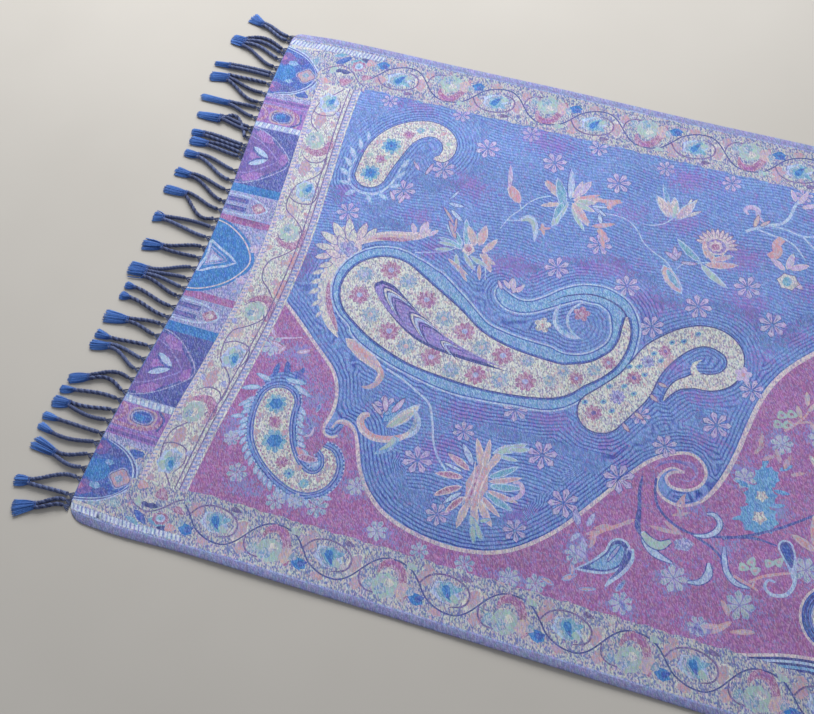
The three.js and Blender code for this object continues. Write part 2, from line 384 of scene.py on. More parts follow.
# soft purple clouds in the blue: place, reach along and across, turn
CLOUDS = [
    (185, 272, 24, 7, 0), (355, 265, 30, 13, -4), (530, 264, 30, 11, 6), (280, 176, 24, 14, -20),
    (455, 112, 34, 12, 22), (372, 85, 25, 12, -12), (270, 80, 15, 12, 30), (525, 82, 26, 12, -10),
    (533, 196, 22, 10, 5), (472, 194, 15, 9, 10), (140, 126, 12, 12, 0), (365, -110, 28, 10, 12),
    (345, -164, 22, 14, 30), (455, -96, 30, 9, -4), (447, -210, 15, 10, 20), (520, -108, 22, 8, -35),
    (611, -70, 19, 8, 8), (602, -20, 22, 8, 0), (618, 168, 15, 12, 30), (622, 112, 24, 12, 0),
    (652, 42, 14, 9, 40), (560, 8, 12, 10, 0), (700, 150, 26, 12, 20), (760, 210, 30, 13, 10),
    (690, 258, 28, 10, 0), (236, 118, 14, 10, 0), (130, 20, 9, 22, 0), (790, 255, 26, 10, 0),
    (200, -142, 15, 11, 60), (164, -97, 17, 10, 10), (184, -122, 14, 7, -20), (206, -176, 8, 13, 0),
    (246, -177, 8, 6, 0), (164, -262, 18, 9, 0), (132, -100, 12, 10, 0), (272, -230, 13, 9, 0),
    (125, -205, 9, 14, 0), (512, -224, 13, 13, 0), (612, -228, 15, 13, 0), (682, -236, 15, 13, 0),
    (655, -92, 11, 14, 20), (700, -128, 12, 12, 0), (656, -182, 12, 8, 0), (570, -272, 16, 7, 0),
    (646, -270, 14, 8, 0), (620, -148, 14, 8, 0), (460, -275, 22, 6, 0), (320, -270, 20, 6, 0),
    (734, -178, 10, 12, 0), (724, -30, 12, 12, 0), (684, -44, 12, 12, 0), (215, -264, 16, 6, 0),
    (536, 202, 20, 8, -10), (604, 168, 14, 18, 20), (520, 77, 16, 14, 0), (628, 102, 14, 20, 20),
    (680, 84, 18, 10, 0), (464, 110, 34, 9, 0), (524, 250, 18, 8, 0), (352, 80, 24, 13, -14),
]


def rosette(u, v, size, mix, turn=0.0, heart="peach"):
    for k in range(5):
        paint(oval(placed([(3.6 * size, 0)], (u, v), turn + 72 * k)[0], 3.1 * size, 2.5 * size, turn + 72 * k,
                   7), mix)
    paint(oval((u, v), 1.7 * size, sides=6), heart)


def bloom(u, v, reach, mix, heart, turn=0.0):
    """A round bloom of nine narrow petals about a small eye."""
    for k in range(9):
        root = placed([(reach * 0.12, 0)], (u, v), turn + 40 * k)[0]
        paint(placed(leaf_form(reach * (0.8 + 0.08 * (k % 2)), reach * 0.5, 0.6, 0, 3), root, turn + 40 * k),
              mix)
    paint(oval((u, v), reach * 0.28, sides=6), heart)


def blooms(rows, mix, heart):
    """Round blooms, each as u, v, reach and turn."""
    for u, v, reach, turn in rows:
        bloom(u, v, reach, mix, heart, turn)


def dashes(path, pitch, long, half, mix):
    """Short floats at an even pitch along a path."""
    run = 0.0
    for a, b in zip(path, path[1:]):
        step = math.hypot(b[0] - a[0], b[1] - a[1])
        while step > 0 and run <= step:
            u, v = a[0] + (b[0] - a[0]) * run / step, a[1] + (b[1] - a[1]) * run / step
            du, dv = (b[0] - a[0]) / step * long / 2, (b[1] - a[1]) / step * long / 2
            nu, nv = -dv / long * 2 * half, du / long * 2 * half
            paint([(u - du + nu, v - dv + nv), (u - du - nu, v - dv - nv), (u + du - nu, v + dv - nv),
                   (u + du + nu, v + dv + nv)], mix)
            run += pitch
        run -= step


def dotted_edge(path, reach, shift, pitch, mix, long=None, steps=8):
    """Small floats in a row all round a paisley, inside its edge by shift."""
    line = curve(with_halves(path, reach, shift, 1.0), steps)
    left, right = sides_of(line)
    closed = left[::-1] + round_end(line[0], line[1], line[0][2], 20) + right
    dashes(closed, pitch, long or pitch * 0.55, 0.8, mix)


def leafy_edge(path, reach, shift, pitch, long, wide, mix, rim):
    """Small leaves in a row up both sides of a paisley, leaning towards its tail."""
    left, right = sides_of(curve(with_halves(path, reach, -shift), 8))
    for side, row in ((1, left), (-1, right)):
        run = 0.0
        for a, b in list(zip(row, row[1:]))[:int(0.66 * len(row))]:
            run -= math.hypot(b[0] - a[0], b[1] - a[1])
            if run < 0:
                turn = math.degrees(math.atan2(b[1] - a[1], b[0] - a[0]))
                leaf(a, long, wide, turn + 48 * side, mix, rim, 0.9, bend=-side)
                run += pitch


# The small cream paisley in the magenta, with its crown of leaves, and the ground line over it.
LOWER = [(162, -160), (163, -178), (170, -200), (184, -219), (203, -234), (222, -240), (237, -233),
         (242.5, -218), (237, -204), (226, -198)]
LOWER_REACH = [18, 19, 19, 16, 12.5, 11, 9, 7, 5.5, 2]
field_first = len(painted)
rings(LOWER, LOWER_REACH, [(-9, "blue"), (-2.8, "mist"), (-1.6, "royal"), (0, "cream")])
dotted_edge(LOWER, LOWER_REACH, -8, 4.6, "white", 2.4, 6)
dotted_edge(LOWER, LOWER_REACH, 3.0, 5.0, "rose")
for u, v, size in ((161, -162, 13), (175, -204, 15)):
    bloom(u, v, size, "teal", "azure", 12)
    paint(oval((u, v), size * 0.55, size * 0.5, 20, 12, 6, 0.1), "azure")
blooms([(167, -183, 8, 30), (191, -225, 8, 0)], "rose", "magenta")
bloom(203, -235, 6.5, "teal", "royal", 0)
bloom(222, -241, 6, "teal", "mint", 0)
dots([(u, v, 4.2, 3.4, 30, "blush") for u, v in ((150, -180), (153, -200), (182, -192), (236, -232),
                                                 (240, -216), (210, -226))], 9, 3, 0.2)
# the blue crown over it and the pale leaves round it
dots([(158, -129, 15, 7, 20, "blue"), (174, -126, 11, 7, -24, "blue"), (146, -136, 9, 6, 50, "blue")],
     15, 5, 0.12)
petals([(146, -132, 18, 7, 84), (160, -128, 20, 8, 100), (170, -128, 18, 7, 66)], "royal")
leafy_edge(LOWER, LOWER_REACH, 7.5, 8.5, 12, 6, "white", "cyan")
frill([(160, -130, 24, 7, -6), (172, -134, 24, 7, -30), (146, -138, 20, 7, 160), (138, -148, 22, 7, 192),
       (134, -166, 16, 6, 214), (134, -186, 16, 6, 190), (139, -204, 18, 6, 205)], "white", "cyan")
band([(200, -204), (208, -210), (220, -217)], [1.2, 3.2, 0.8], "coral")
leaf((204, -214), 24, 9, 4, "rose", "pink")
band([(204, -190), (210, -186), (210, -176)], [0.6, 1.4, 0.6], "pink")
band([(128, -92), (138, -84), (150, -80), (160, -76)], [0.5, 1.1, 1.0, 0.4], "pink")
band([(230, -166), (237, -163), (246, -164), (252, -169)], [0.8, 1.6, 1.6, 0.6], "blush")
band(OGEE_LEFT, 1.9, "line")
band(OGEE_CURL, 1.4, "line")
band(OGEE_ARC, [1.3] * 4 + [2.1] * 13 + [1.6] * 9, "line")
band(OGEE_RISE, [0.6, 1.2, 1.4, 1.5, 1.5, 1.5, 1.8] + [2.6] * (len(OGEE_RISE) - FOOT), "line")
band([(588, -103), (603, -99), (612, -108), (605, -120), (593, -119)], [0.4, 1, 1, 0.9, 0.3], "violet")


def flower(u, v, size, petal="petal", rim="indigo", slit="grape"):
    """Seven small petals, each with a dark edge and a slit."""
    for k in range(7):
        turn = 360 * k / 7 + (u * 3 + v) % 40
        for start, long, wide, mix in ((1.0, 14.8, 8.6, rim), (2.0, 13.2, 6.8, petal), (3.6, 6.6, 1.4, slit)):
            root = placed([(start, 0)], (u, v), turn, size)[0]
            paint(placed(leaf_form(long * size, wide * size, 0.68, 0, 3), root, turn), mix)


# small flowers strewn over the blue: place and size
FLOWERS = [
    (285, 235, 1), (368, 238, 1), (448, 231, 1), (447, 140, 1), (408, 95, 1), (490, 93, 1), (572, 89, 1.05),
    (655, 91, 1.05), (620, 131, 1.05), (148, 273, 0.7), (240, 277, 0.75), (330, 272, 0.8), (413, 275, 0.8),
    (497, 268, 0.75), (576, 269, 0.8), (206, 148, 1), (243, 190, 0.95), (153, 99, 0.95), (528, 49, 0.95),
    (648, 4, 0.9), (620, -48, 1.05), (573, -88, 0.9), (452, -136, 1.1), (535, -138, 1.1), (487, -182, 1.1),
    (328, -181, 1.1), (411, -93, 0.95), (447, -226, 0.85), (366, -233, 0.85), (276, -131, 0.9),
    (365, -134, 0.8), (540, -60, 0.8), (700, 190, 1.05), (735, 150, 1), (720, 240, 1), (800, 215, 1),
    (850, 255, 1), (780, 272, 0.8), (930, 262, 0.9), (660, 275, 0.75),
]
for row in FLOWERS:
    flower(*row)

# The great paisley: first the leaves that wrap its round end, then its white outline, blue rings
# and the cream inside, with rows of blooms and a violet leaf.
SPINE = [(226, 9), (238, 3), (254, -7), (291, -26), (335, -44), (372, -48), (405, -47.5), (440, -45),
         (467, -32), (486, -17), (499, 5), (502.5, 24), (500, 42), (489, 61.5), (470, 71.5), (454.5, 71.5),
         (440, 69), (425, 59.5), (411, 48), (395, 37), (380, 33), (366, 36), (356, 44), (352, 54)]
REACH = [60, 63, 66.5, 62, 52, 46.6, 43, 40, 28, 24, 19.5, 17.2, 17.3, 15.5, 14, 13.8, 12, 11.5, 10, 9.6,
         10.5, 11, 9, 3]
INNER = [(227, 5.5), (257, -12), (299, -30.5), (342, -44.5), (387, -50), (440, -46.5), (466, -32),
         (482, -20.5), (493.5, -6.5), (500, 7), (503, 23), (502, 38), (499, 53)]
INNER_REACH = [48, 48.5, 44.8, 34.3, 28, 21.5, 13.5, 10.5, 8.8, 6.6, 5.4, 4.4, 1.2]
band([(166, 44), (160, 14), (162, -8), (170, -30), (184, -51), (198, -65)], [8, 8, 8, 7, 5, 0.5], "pale")
band([(163, 4), (167, -10), (176, -31), (188, -48), (195, -58)], [0.5, 3.0, 3.4, 2.4, 0.4], "rose")
paint(placed(leaf_form(64, 38, 0.5, 0, 6), (178, 20), 110), "line")
for k, (u, v, long, wide, turn) in enumerate([
        (168, 60, 34, 13, 104), (176, 64, 28, 12, 78), (162, 58, 32, 13, 128), (158, 52, 30, 12, 150),
        (156, 44, 26, 11, 172), (156, 36, 22, 10, 196), (160, 26, 18, 9, 206), (184, 68, 22, 10, 60),
        (168, 44, 26, 12, 120), (166, 36, 22, 11, 160), (172, 56, 24, 11, 96)]):
    leaf((u, v), long, wide, turn, "line" if k % 4 == 1 else "pale", "grape", 0.8,
         bend=long * 0.1)
frill([(154, 14, 16, 8, 206), (156, 2, 16, 8, 210), (158, -10, 16, 8, 216), (164, -24, 15, 7, 226),
       (170, -37, 13, 6, 238)], "pale", "mist")
band([(176, 58), (186, 68), (200, 77), (216, 83), (232, 87), (248, 94), (254, 104)],
     [2, 4.6, 6, 6.4, 6, 4.4, 1], "line")
band([(184, 66), (198, 75), (214, 80), (230, 84), (246, 92)], [1, 3.4, 4.6, 4.2, 1], "peach")
band([(196, 73), (210, 77), (226, 80), (238, 84)], [0.6, 2.4, 2.4, 0.6], "rose")
petals([(238, 92, 16, 7, 112), (244, 94, 18, 7, 82), (252, 94, 16, 6, 40), (250, 98, 16, 5, 96)], "pink",
       "line", 1.0)
rosette(170, 50, 1.9, "lavender", 10, "violet")
leaf((206, -63), 60, 17, -25, "peach", "line", 1.6, bend=-3)
leaf((212, -66), 34, 8, -25, "coral", bend=-1)
band([(252, -87), (259, -95), (257, -107), (250, -114), (243, -115)], [3.6, 3.6, 3.2, 2.4, 0.8], "blush")
band([(250, -85), (256, -93), (255, -104)], [0.8, 1.4, 0.5], "line")
rings(SPINE, REACH, [(0, "white"), (2.0, "royal"), (3.6, "cyan")])
rings(INNER, INNER_REACH, [(-3.4, "royal"), (-1.6, "dark"), (0, "cream")])
band([(499, 53), (492, 61), (479, 67.5), (465, 70.5), (450, 70), (436, 65), (424, 58.5), (410, 46)],
     [1.2, 1.1, 1, 1, 0.9, 0.8, 0.6, 0.3], "dark")
band([(448, 58), (440, 49), (436, 37), (438.5, 26), (444.6, 18), (455, 13)],
     [0.8, 1.5, 1.6, 1.5, 1.3, 0.5], "white")
band([(424, 49), (422, 36), (426, 23), (436, 15), (447, 12), (457, 13)],
     [0.4, 2.6, 3.4, 3.4, 2.6, 0.6], "white")
band([(424, 42), (424, 34), (428, 24), (437, 16.5), (446, 13.5)], [0.3, 1.1, 1.7, 1.6, 0.4], "cyan")
petals([(362, 52, 17, 6, 80), (356, 48, 15, 6, 118), (367, 47, 15, 6, 50)], "pink", "grape", 0.9)
ROSE_BLOOMS = [(227, 37), (278, 11), (331, -16), (380, -33), (203, -5), (250, -40), (305, -58), (358, -65),
               (412, -57), (464, -37), (493, -8)]
TEAL_BLOOMS = [(251, 28), (304, -7), (355, -30), (200, 23), (223, -26), (274, -53), (330, -67), (385, -63),
               (437, -48), (408, -32), (448, -32), (480, -22)]
LEAF_UP = [(222, 21), (239, 17), (266, -2), (296, -22), (332, -38), (368, -48), (392, -51)]
LEAF_LOW = [(392, -51), (345, -51), (296, -46), (266, -34), (236, -12.6), (219.6, 4), (215, 14), (222, 21)]
for k, (u, v) in enumerate(ROSE_BLOOMS):
    bloom(u, v, 13 - 4 * (u > 440), "rose", "haze", 23 * k)
for k, (u, v) in enumerate(TEAL_BLOOMS):
    bloom(u, v, 11.5 - 3.5 * (u > 400), "slate", "peach" if k % 3 else "haze", 31 * k)
edge = curve(LEAF_UP, 4) + curve(LEAF_LOW, 4)
paint(edge, "dark")
paint([(300 + (u - 300) * 0.975, -17 + (v + 17) * 0.88) for u, v in edge], "violet")
# pale arrow heads in the leaf, with dark ones between them
for u, v, turn, size in ((227, 12, -36, 1.0), (266, -11, -34, 1.0), (309, -35.5, -24, 0.62)):
    for back, mix, half in ((21, "dark", 0.7), (16, "dark", 0.7), (9, "white", 2.0), (5.5, "dark", 0.9),
                            (2, "pale", 1.5), (-1.5, "dark", 0.9)):
        for lean in (1, -1):
            path = placed([(back, 0), (back + 7, 4.8 * lean), (back + 17, 8.0 * lean),
                           (back + 28, 9.6 * lean)], (u, v), turn, size)
            band(path, [half * size, half * size, half * size * 0.8, 0.3], mix, 3)

# The cream paisley right of it, dark at its edge, with blooms and small blue eyes.
SECOND = [(499, -69), (513.5, -48), (525.5, -28), (532.5, -6), (541, 14.5), (554, 32), (568, 45.5), (584, 54),
          (600, 55), (613.5, 50), (623, 40), (625.5, 24), (619, 9.5), (605, 0.5), (590, -2), (582, -6),
          (571, -13), (564, -24), (560, -36)]
SECOND_REACH = [24.5, 22, 20, 17, 16.5, 14.6, 13, 12, 11.8, 11, 9.5, 8.4, 9, 9.5, 9, 7, 5, 2.8, 0.4]
rings(SECOND, SECOND_REACH, [(-1.7, "dark"), (0, "cream")])
band([(594, 2), (585, 8), (583, 17), (589, 25)], [5, 4, 2.6, 0.5], "cream")
for k, (u, v) in enumerate([(492, -72), (512, -46), (524, -18), (534, 6), (549, 24)]):
    bloom(u, v, 10.5 - k * 0.6, "rose" if k % 2 == 0 else "lavender", "grape", 19 * k)
for u, v in ((499, -56), (510, -64), (480, -62), (501, -36), (516, -31), (528, -37), (516, -6), (526, -3),
             (534, -11), (538, 18), (547, 11), (554, 37), (566, 42), (579, 55)):
    paint(oval((u, v), 3.8, 2.9, 40, 8), "teal")
    paint(oval((u, v), 1.7, 1.2, 40, 6), "royal")
frill([(549, -16, 13, 6, -20), (544, -32, 14, 6, -40), (533, -58, 14, 7, -34), (524, -74, 14, 6, -50)],
      "peach", "plum")

# The small cream paisley in the blue, wrapped in white leaves.
SMALL = [(161, 159), (163, 180), (167.5, 200), (177, 221), (191, 236), (208, 244), (224, 242.5), (237, 232),
         (241.5, 217), (237, 205), (228, 202)]
SMALL_REACH = [18.5, 20.5, 21.5, 19, 15, 12, 10, 9, 7.5, 6, 2]
rings(SMALL, SMALL_REACH, [(-1.2, "dark"), (0, "cream")])
dotted_edge(SMALL, SMALL_REACH, 3.0, 5.0, "peach")
for u, v, size in ((160, 161, 13), (172, 206, 13.5)):
    bloom(u, v, size, "teal", "azure", 10)
    bloom(u, v, size * 0.62, "azure", "royal", 30)
blooms([(166, 184, 7.5, 30), (187, 228, 8, 0)], "rose", "magenta")
bloom(199, 239, 5.5, "teal", "pale", 0)
bloom(184, 200, 5, "mint", "peach", 0)
for u, v, size in ((212, 245, 4.5), (227, 242, 4), (238, 228, 4), (150, 186, 4.5), (155, 208, 4.5),
                   (172, 188, 4)):
    paint(oval((u, v), size, size * 0.8, 30, 9, 3, 0.2), "coral" if u % 2 else "mint")
band([(136, 178), (135, 156), (142, 139), (158, 131), (176, 134), (187, 148), (192, 168), (194, 190)],
     [0.6, 1.3, 1.6, 1.8, 1.8, 1.5, 1.2, 0.5], "white")
frill([(136, 150, 17, 8, 142), (135, 163, 18, 8, 128), (135, 176, 20, 8, 118), (142, 139, 15, 7, 172),
       (152, 132, 15, 7, 214), (166, 131, 15, 7, 300), (178, 136, 16, 7, 330), (187, 148, 16, 7, 20),
       (190, 162, 17, 7, 44), (193, 177, 18, 7, 64), (138, 191, 20, 7, 108), (142, 205, 17, 6, 100)],
      "white", "cyan")

# The sprays in the blue: lotuses, tulips and twigs, each leaf rimmed in a second mix.
# the high lotus
stems([[(376, 190), (364, 184), (354, 174), (346, 160), (337, 146), (331, 128)],
       [(440, 184), (456, 185), (471, 182), (485, 171), (494, 158), (508, 148), (524, 140), (534, 130)],
       [(336, 142), (346, 145), (356, 147)], [(347, 163), (342, 172)]])
petals([(398, 188, 42, 11, 250), (402, 184, 40, 7, 302), (390, 188, 38, 10, 268)], "mint", "white")
petals([(392, 190, 34, 12, 142), (390, 182, 24, 7, 196)], "peach", "line", 1.2)
petals([(386, 196, 26, 6, 140)], "coral")
petals([(399, 190, 48, 10, 97)], "white", "indigo", 0.8)
petals([(395, 176, 46, 13, 108), (392, 186, 28, 9, 256)], "teal", "white", 1.2)
petals([(400, 195, 34, 12, 54), (402, 196, 26, 8, 74)], "petal", "line", 1.2)
petals([(402, 192, 38, 11, 22), (402, 188, 38, 11, -40)], "peach", "line", 1.6, -0.1)
petals([(408, 197, 26, 5, 20), (410, 180, 24, 5, -42)], "coral")
petals([(406, 192, 24, 10, 2), (404, 190, 28, 8, -20)], "mint", "line", 1.2)
petals([(424, 192, 26, 7, -34), (436, 184, 22, 7, -74), (424, 190, 22, 6, 4)], "white", "indigo", 1.0)
petals([(430, 200, 30, 7, 4), (440, 196, 20, 9, 30), (446, 190, 16, 8, 92)], "coral", "blush")
petals([(432, 162, 28, 7, 18), (440, 162, 20, 9, -50), (446, 152, 18, 6, -70)], "coral", "blush")
leaf((344, 169), 30, 14, 132, "coral", "line", 1.2, belly=0.5)
leaf((326, 186), 34, 6, 98, "pink", bend=3)
band([(350, 146), (358, 152), (366, 148), (371, 137), (374, 122)], [2, 4.2, 4.2, 3.4, 0.8], "white")
band([(352, 146), (359, 150), (366, 146), (370, 136)], [1, 2.6, 2.6, 0.8], "mint")
petals([(376, 150, 18, 5, -74), (388, 146, 16, 4, 200)], "coral")
# the low lotus
stems([[(262, -86), (284, -94), (304, -104), (320, -114), (330, -134), (338, -156), (350, -174), (366, -188)],
       [(402, -150), (408, -141), (418, -134)]], half=1.2)
petals([(384, -176, 30, 9, 150), (380, -186, 30, 9, 182), (382, -196, 32, 9, 210), (388, -206, 28, 8, 232)],
       "rose", "line", 1.4)
petals([(386, -170, 30, 9, 124), (378, -180, 24, 6, 164), (384, -202, 26, 7, 224)], "white", "indigo", 1.0)
petals([(404, -178, 36, 9, 32), (408, -186, 36, 10, 6), (406, -194, 36, 10, -26), (400, -202, 26, 8, -50)],
       "teal", "white", 1.5)
petals([(406, -182, 36, 7, 18), (408, -192, 34, 7, -12), (404, -200, 30, 7, -40)], "blush", "line", 1.3)
band([(430, -196), (440, -190), (443, -181), (438, -174), (431, -176)], [1.2, 2.4, 2.6, 2, 0.8], "pink")
petals([(396, -172, 38, 9, 108), (400, -172, 38, 9, 66), (397, -174, 40, 8, 88), (398, -208, 34, 9, -74),
        (394, -208, 34, 9, -104), (402, -204, 34, 9, -56)], "peach", "line", 1.6)
paint(oval((396, -190), 11, 26, 0, 16, 6, 0.1), "blush")
for lean, mix in ((-7, "line"), (-3.5, "rose"), (0, "line"), (3.5, "coral"), (7, "line")):
    band([(396 + lean * 1.3, -164), (396 + lean * 0.7, -190), (396 + lean * 1.2, -216)], [0.4, 1.0, 0.4], mix)
petals([(404, -148, 36, 10, 28), (416, -140, 24, 8, 10), (410, -150, 20, 6, -6)], "mint", "white", 1.3)
petals([(398, -224, 32, 10, -52), (404, -232, 22, 8, -76), (408, -228, 14, 6, 20)], "mint", "cyan", 1.3)
# the group left of it
petals([(278, -150, 40, 12, 62), (276, -142, 30, 10, 50)], "cyan", "azure", 1.2)
petals([(284, -154, 46, 15, 48)], "pale", "white", 1.6)
petals([(284, -154, 36, 8, 44)], "mint", "peach", 1.0)
band([(306, -124), (313, -134), (315, -146), (309, -156), (302, -160)], [0.8, 3.4, 4.2, 3.6, 1], "white")
band([(308, -130), (312, -138), (312, -147), (307, -154)], [0.6, 2, 2.4, 1], "slate")
band([(263, -145), (257, -147), (255, -155), (262, -165), (276, -170), (292, -167), (304, -160), (310, -152)],
     [2.2, 3.6, 3.8, 3.8, 3.8, 3.8, 3.4, 1.4], "line")
band([(262, -146), (258, -149), (257, -155), (263, -163), (276, -168), (292, -165), (303, -158)],
     [1.2, 2.2, 2.4, 2.4, 2.4, 2.4, 1.2], "coral")
band([(299, -162), (297, -172), (290, -182), (281, -188)], [4, 4, 3, 0.8], "cyan")
band([(297, -163), (294, -173), (286, -182)], [2.6, 2.6, 1], "mint")
petals([(278, -138, 22, 8, 104), (284, -136, 24, 8, 62), (276, -142, 20, 6, 140)], "pink", "plum", 1.0)
# the group between the paisleys
stems([[(246, 68), (262, 73), (278, 79), (290, 88)], [(322, 84), (330, 70), (334, 55)],
       [(318, 70), (316, 60)]])
petals([(300, 92, 40, 9, 100), (296, 92, 36, 9, 132), (298, 88, 34, 8, 160), (302, 90, 30, 8, 66)], "teal",
       "white")
petals([(314, 98, 30, 12, 84), (310, 96, 30, 10, 116), (320, 90, 26, 9, 56), (322, 92, 30, 9, -64),
        (318, 88, 24, 8, -30)], "peach", "line")
petals([(316, 102, 18, 6, 84), (323, 88, 18, 5, -64)], "coral")
petals([(286, 98, 30, 7, 118), (278, 118, 30, 5, 128), (282, 106, 26, 5, 96)], "blush", "indigo", 0.9)
petals([(300, 84, 28, 7, -52), (308, 82, 26, 7, -26), (292, 80, 26, 7, -72), (286, 84, 22, 6, 190),
        (290, 90, 24, 6, 176)], "mint", "white", 1.2)
petals([(284, 72, 34, 5, -34), (300, 66, 24, 5, -58), (322, 74, 22, 5, -80)], "blush", "line", 0.9)
petals([(262, 146, 22, 7, -6), (268, 138, 24, 7, -40), (262, 150, 20, 5, 60)], "white", "indigo", 0.9)
paint(oval((304, 90), 7, 8, 0, 15, 5, 0.16), "line")
paint(oval((304, 90), 3.6, 4, 0, 10), "rose")
# the tulip
petals([(514, 206, 42, 7, 106)], "cyan", "white", 0.9)
petals([(527, 206, 34, 8, 58), (528, 204, 28, 7, 30), (531, 212, 24, 6, 74)], "pale", "indigo", 0.8)
petals([(518, 199, 36, 14, 124), (523, 199, 36, 14, 56), (520, 199, 32, 13, 92)], "line", "white", 1.2)
petals([(519, 202, 24, 5, 110), (524, 203, 22, 5, 62)], "peach")
petals([(520, 200, 24, 5, 86)], "mint")
stems([[(520, 200), (512, 190), (500, 184), (488, 182)]])
# the spiky lotus
for k in range(12):
    turn = 6 + 168 * k / 11
    root = placed([(8, 0)], (576, 176), turn)[0]
    leaf(root, 18, 6.4, turn, "line", "plum", 0.9)
petals([(562, 184, 28, 9, -82), (566, 172, 26, 8, -62)], "coral", "line")
petals([(568, 148, 38, 10, 9), (574, 156, 26, 8, 24)], "coral", "line")
paint(oval((576, 177), 14, 13, 0, 21, 7, 0.1), "line")
paint(oval((576, 176), 11, 10, 0, 14), "violet")
paint(oval((575, 176), 8, 7.4, 0, 14, 7, 0.12), "line")
paint(oval((575, 175), 5, 4.6, 0, 10), "rose")
petals([(563, 150, 40, 10, 153)], "teal", "white", bend=-0.16)
petals([(563, 148, 44, 10, -44)], "mint", "white", 1.4, 0.16)
stems([[(572, 152), (556, 146), (545, 142), (538, 132)]])
# the hanging tulip
petals([(532, 142, 18, 7, 60), (535, 144, 20, 7, 100), (538, 144, 20, 7, 150), (541, 143, 20, 6, 4)], "petal",
       "plum", 0.9)
petals([(523, 134, 44, 17, -56)], "blush", "white", 1.2)
petals([(528, 130, 32, 9, -56)], "teal", "white", 1.0)
petals([(524, 126, 28, 5, -60)], "peach")
# the twig at the rise
stems([[(604, 206), (613, 213), (627, 222), (641, 228), (649, 240), (652, 256), (656, 268)]], half=1.9)
stems([
       [(622, 222), (646, 222), (668, 218), (684, 221), (720, 216)],
       [(612, 214), (632, 210), (650, 208), (664, 200), (676, 186)], [(668, 218), (682, 206), (694, 202)],
       [(684, 221), (716, 232), (744, 226), (768, 210), (776, 190)]], half=1.1)
band([(622, 224), (614, 232), (612, 240), (604, 242), (598, 236), (603, 230)], [1, 2.6, 3.2, 3.2, 2.6, 1.0],
     "petal")
petals([(612, 214, 20, 7, 78), (618, 218, 16, 6, 40)], "peach", "plum", 0.8)
band([(637, 178), (644, 188), (641, 198), (646, 208)], [6, 5.6, 5.2, 4.6], "coral")
petals([(656, 262, 22, 7, 64), (660, 258, 20, 7, 20), (652, 264, 18, 6, 110)], "pink", "line", 0.9)
petals([(660, 170, 24, 9, 20), (658, 168, 24, 9, 76), (656, 166, 22, 8, 140), (660, 160, 24, 9, -40)], "pink",
       "line", 1.1)
paint(oval((662, 152), 12, 11, 0, 18, 6, 0.12), "plum")
paint(oval((662, 152), 11, 10, 0, 18, 6, 0.12), "pale")
paint(oval((661, 152), 5.4, 6.4, 0, 12), "teal")
petals([(774, 188, 30, 10, -70), (770, 192, 28, 9, -110), (778, 190, 26, 9, -32), (776, 196, 24, 9, 30)],
       "coral", "peach")
petals([(690, 202, 20, 7, -20), (694, 198, 20, 7, -64)], "mint", "white", 1.0)
# loose buds
for u, v, mix in ((412, 17, "cream"), (450, 43, "rose"), (636, 20, "pink")):
    rosette(u, v, 1.5, mix, 20, "coral")
petals([(368, 50, 18, 6, 95), (364, 52, 14, 5, 130), (373, 50, 14, 5, 60)], "pink", "line", 0.9)
petals([(206, 128, 16, 6, 70), (200, 130, 16, 6, 120)], "pink", "plum", 0.9)
petals([(224, 176, 20, 6, 70), (216, 180, 16, 5, 130)], "pink", "plum", 0.9)

# The sprays in the magenta: small pale flowers, three bright blooms, dark stems, hooked leaves and
# ringed flowers.
MAGENTA_FLOWERS = [(612, -228, 0.95), (680, -236, 1.0), (512, -232, 0.7), (455, -276, 0.75), (276, -228, 0.7),
                   (312, -268, 0.75), (482, -274, 0.7), (568, -268, 0.8), (645, -268, 0.7), (244, -262, 0.8),
                   (200, -268, 0.7), (150, -250, 0.75), (132, -96, 0.85), (130, -215, 0.6), (660, -100, 0.8),
                   (736, -180, 0.9), (690, -50, 0.8), (728, -30, 0.9), (220, -262, 0.6), (408, -276, 0.7),
                   (360, -276, 0.65)]
BRIGHT_BLOOMS = [(681, -139, 19), (679, -115, 16), (681, -92, 13)]
for u, v, size in MAGENTA_FLOWERS:
    flower(u, v, size, "slate", "haze", "lavender")
petals([(120, -70, 20, 7, -60), (128, -90, 18, 6, -20), (140, -104, 18, 6, 60), (160, -96, 18, 6, 20)],
       "pink", "rose")
petals([(202, -190, 18, 6, 60), (208, -178, 16, 6, 130), (206, -160, 14, 5, 80)], "blue", "mist")
petals([(676, -254, 26, 7, -140), (668, -262, 22, 6, -170), (700, -258, 26, 6, 190), (672, -250, 18, 6, 120)],
       "peach", "coral")
petals([(505, -262, 18, 7, 30), (515, -256, 16, 6, 100), (500, -270, 18, 6, 160), (524, -266, 18, 5, 10)],
       "coral", "mist")
petals([(560, -258, 16, 6, 60), (574, -276, 16, 6, 120), (640, -276, 14, 6, 60), (652, -278, 14, 6, 120)],
       "blue", "mist")
for k, (u, v, reach) in enumerate(BRIGHT_BLOOMS):
    paint(oval((u, v), reach, reach * 0.92, 20 * k, 27, 9, 0.13), "bright")
    if k < 2:
        paint(oval((u + 1, v + 1), reach * 0.36, sides=15, lobes=5, depth=0.25), "cream")
petals([(690, -104, 18, 5, -4), (692, -80, 16, 6, 30), (676, -82, 16, 7, 80), (666, -108, 16, 6, 160),
        (690, -122, 16, 5, 12), (668, -142, 14, 5, 200)], "bright")
stems([[(572, -126), (575, -144), (582, -158), (598, -170), (622, -176), (650, -170), (680, -162),
        (704, -163)], [(650, -172), (676, -160), (700, -146), (724, -128), (744, -112)],
       [(622, -177), (640, -184), (652, -192), (657, -204)]], "indigo", 1.4)
band([(568, -116), (577, -106), (592, -101), (607, -104), (613, -114)], [0.5, 1.6, 1.8, 1.6, 0.5], "violet")
band([(558, -128), (559, -146), (563, -164), (565, -182), (570, -192)], [0.8, 1.8, 2.2, 3.0, 1.6], "indigo")
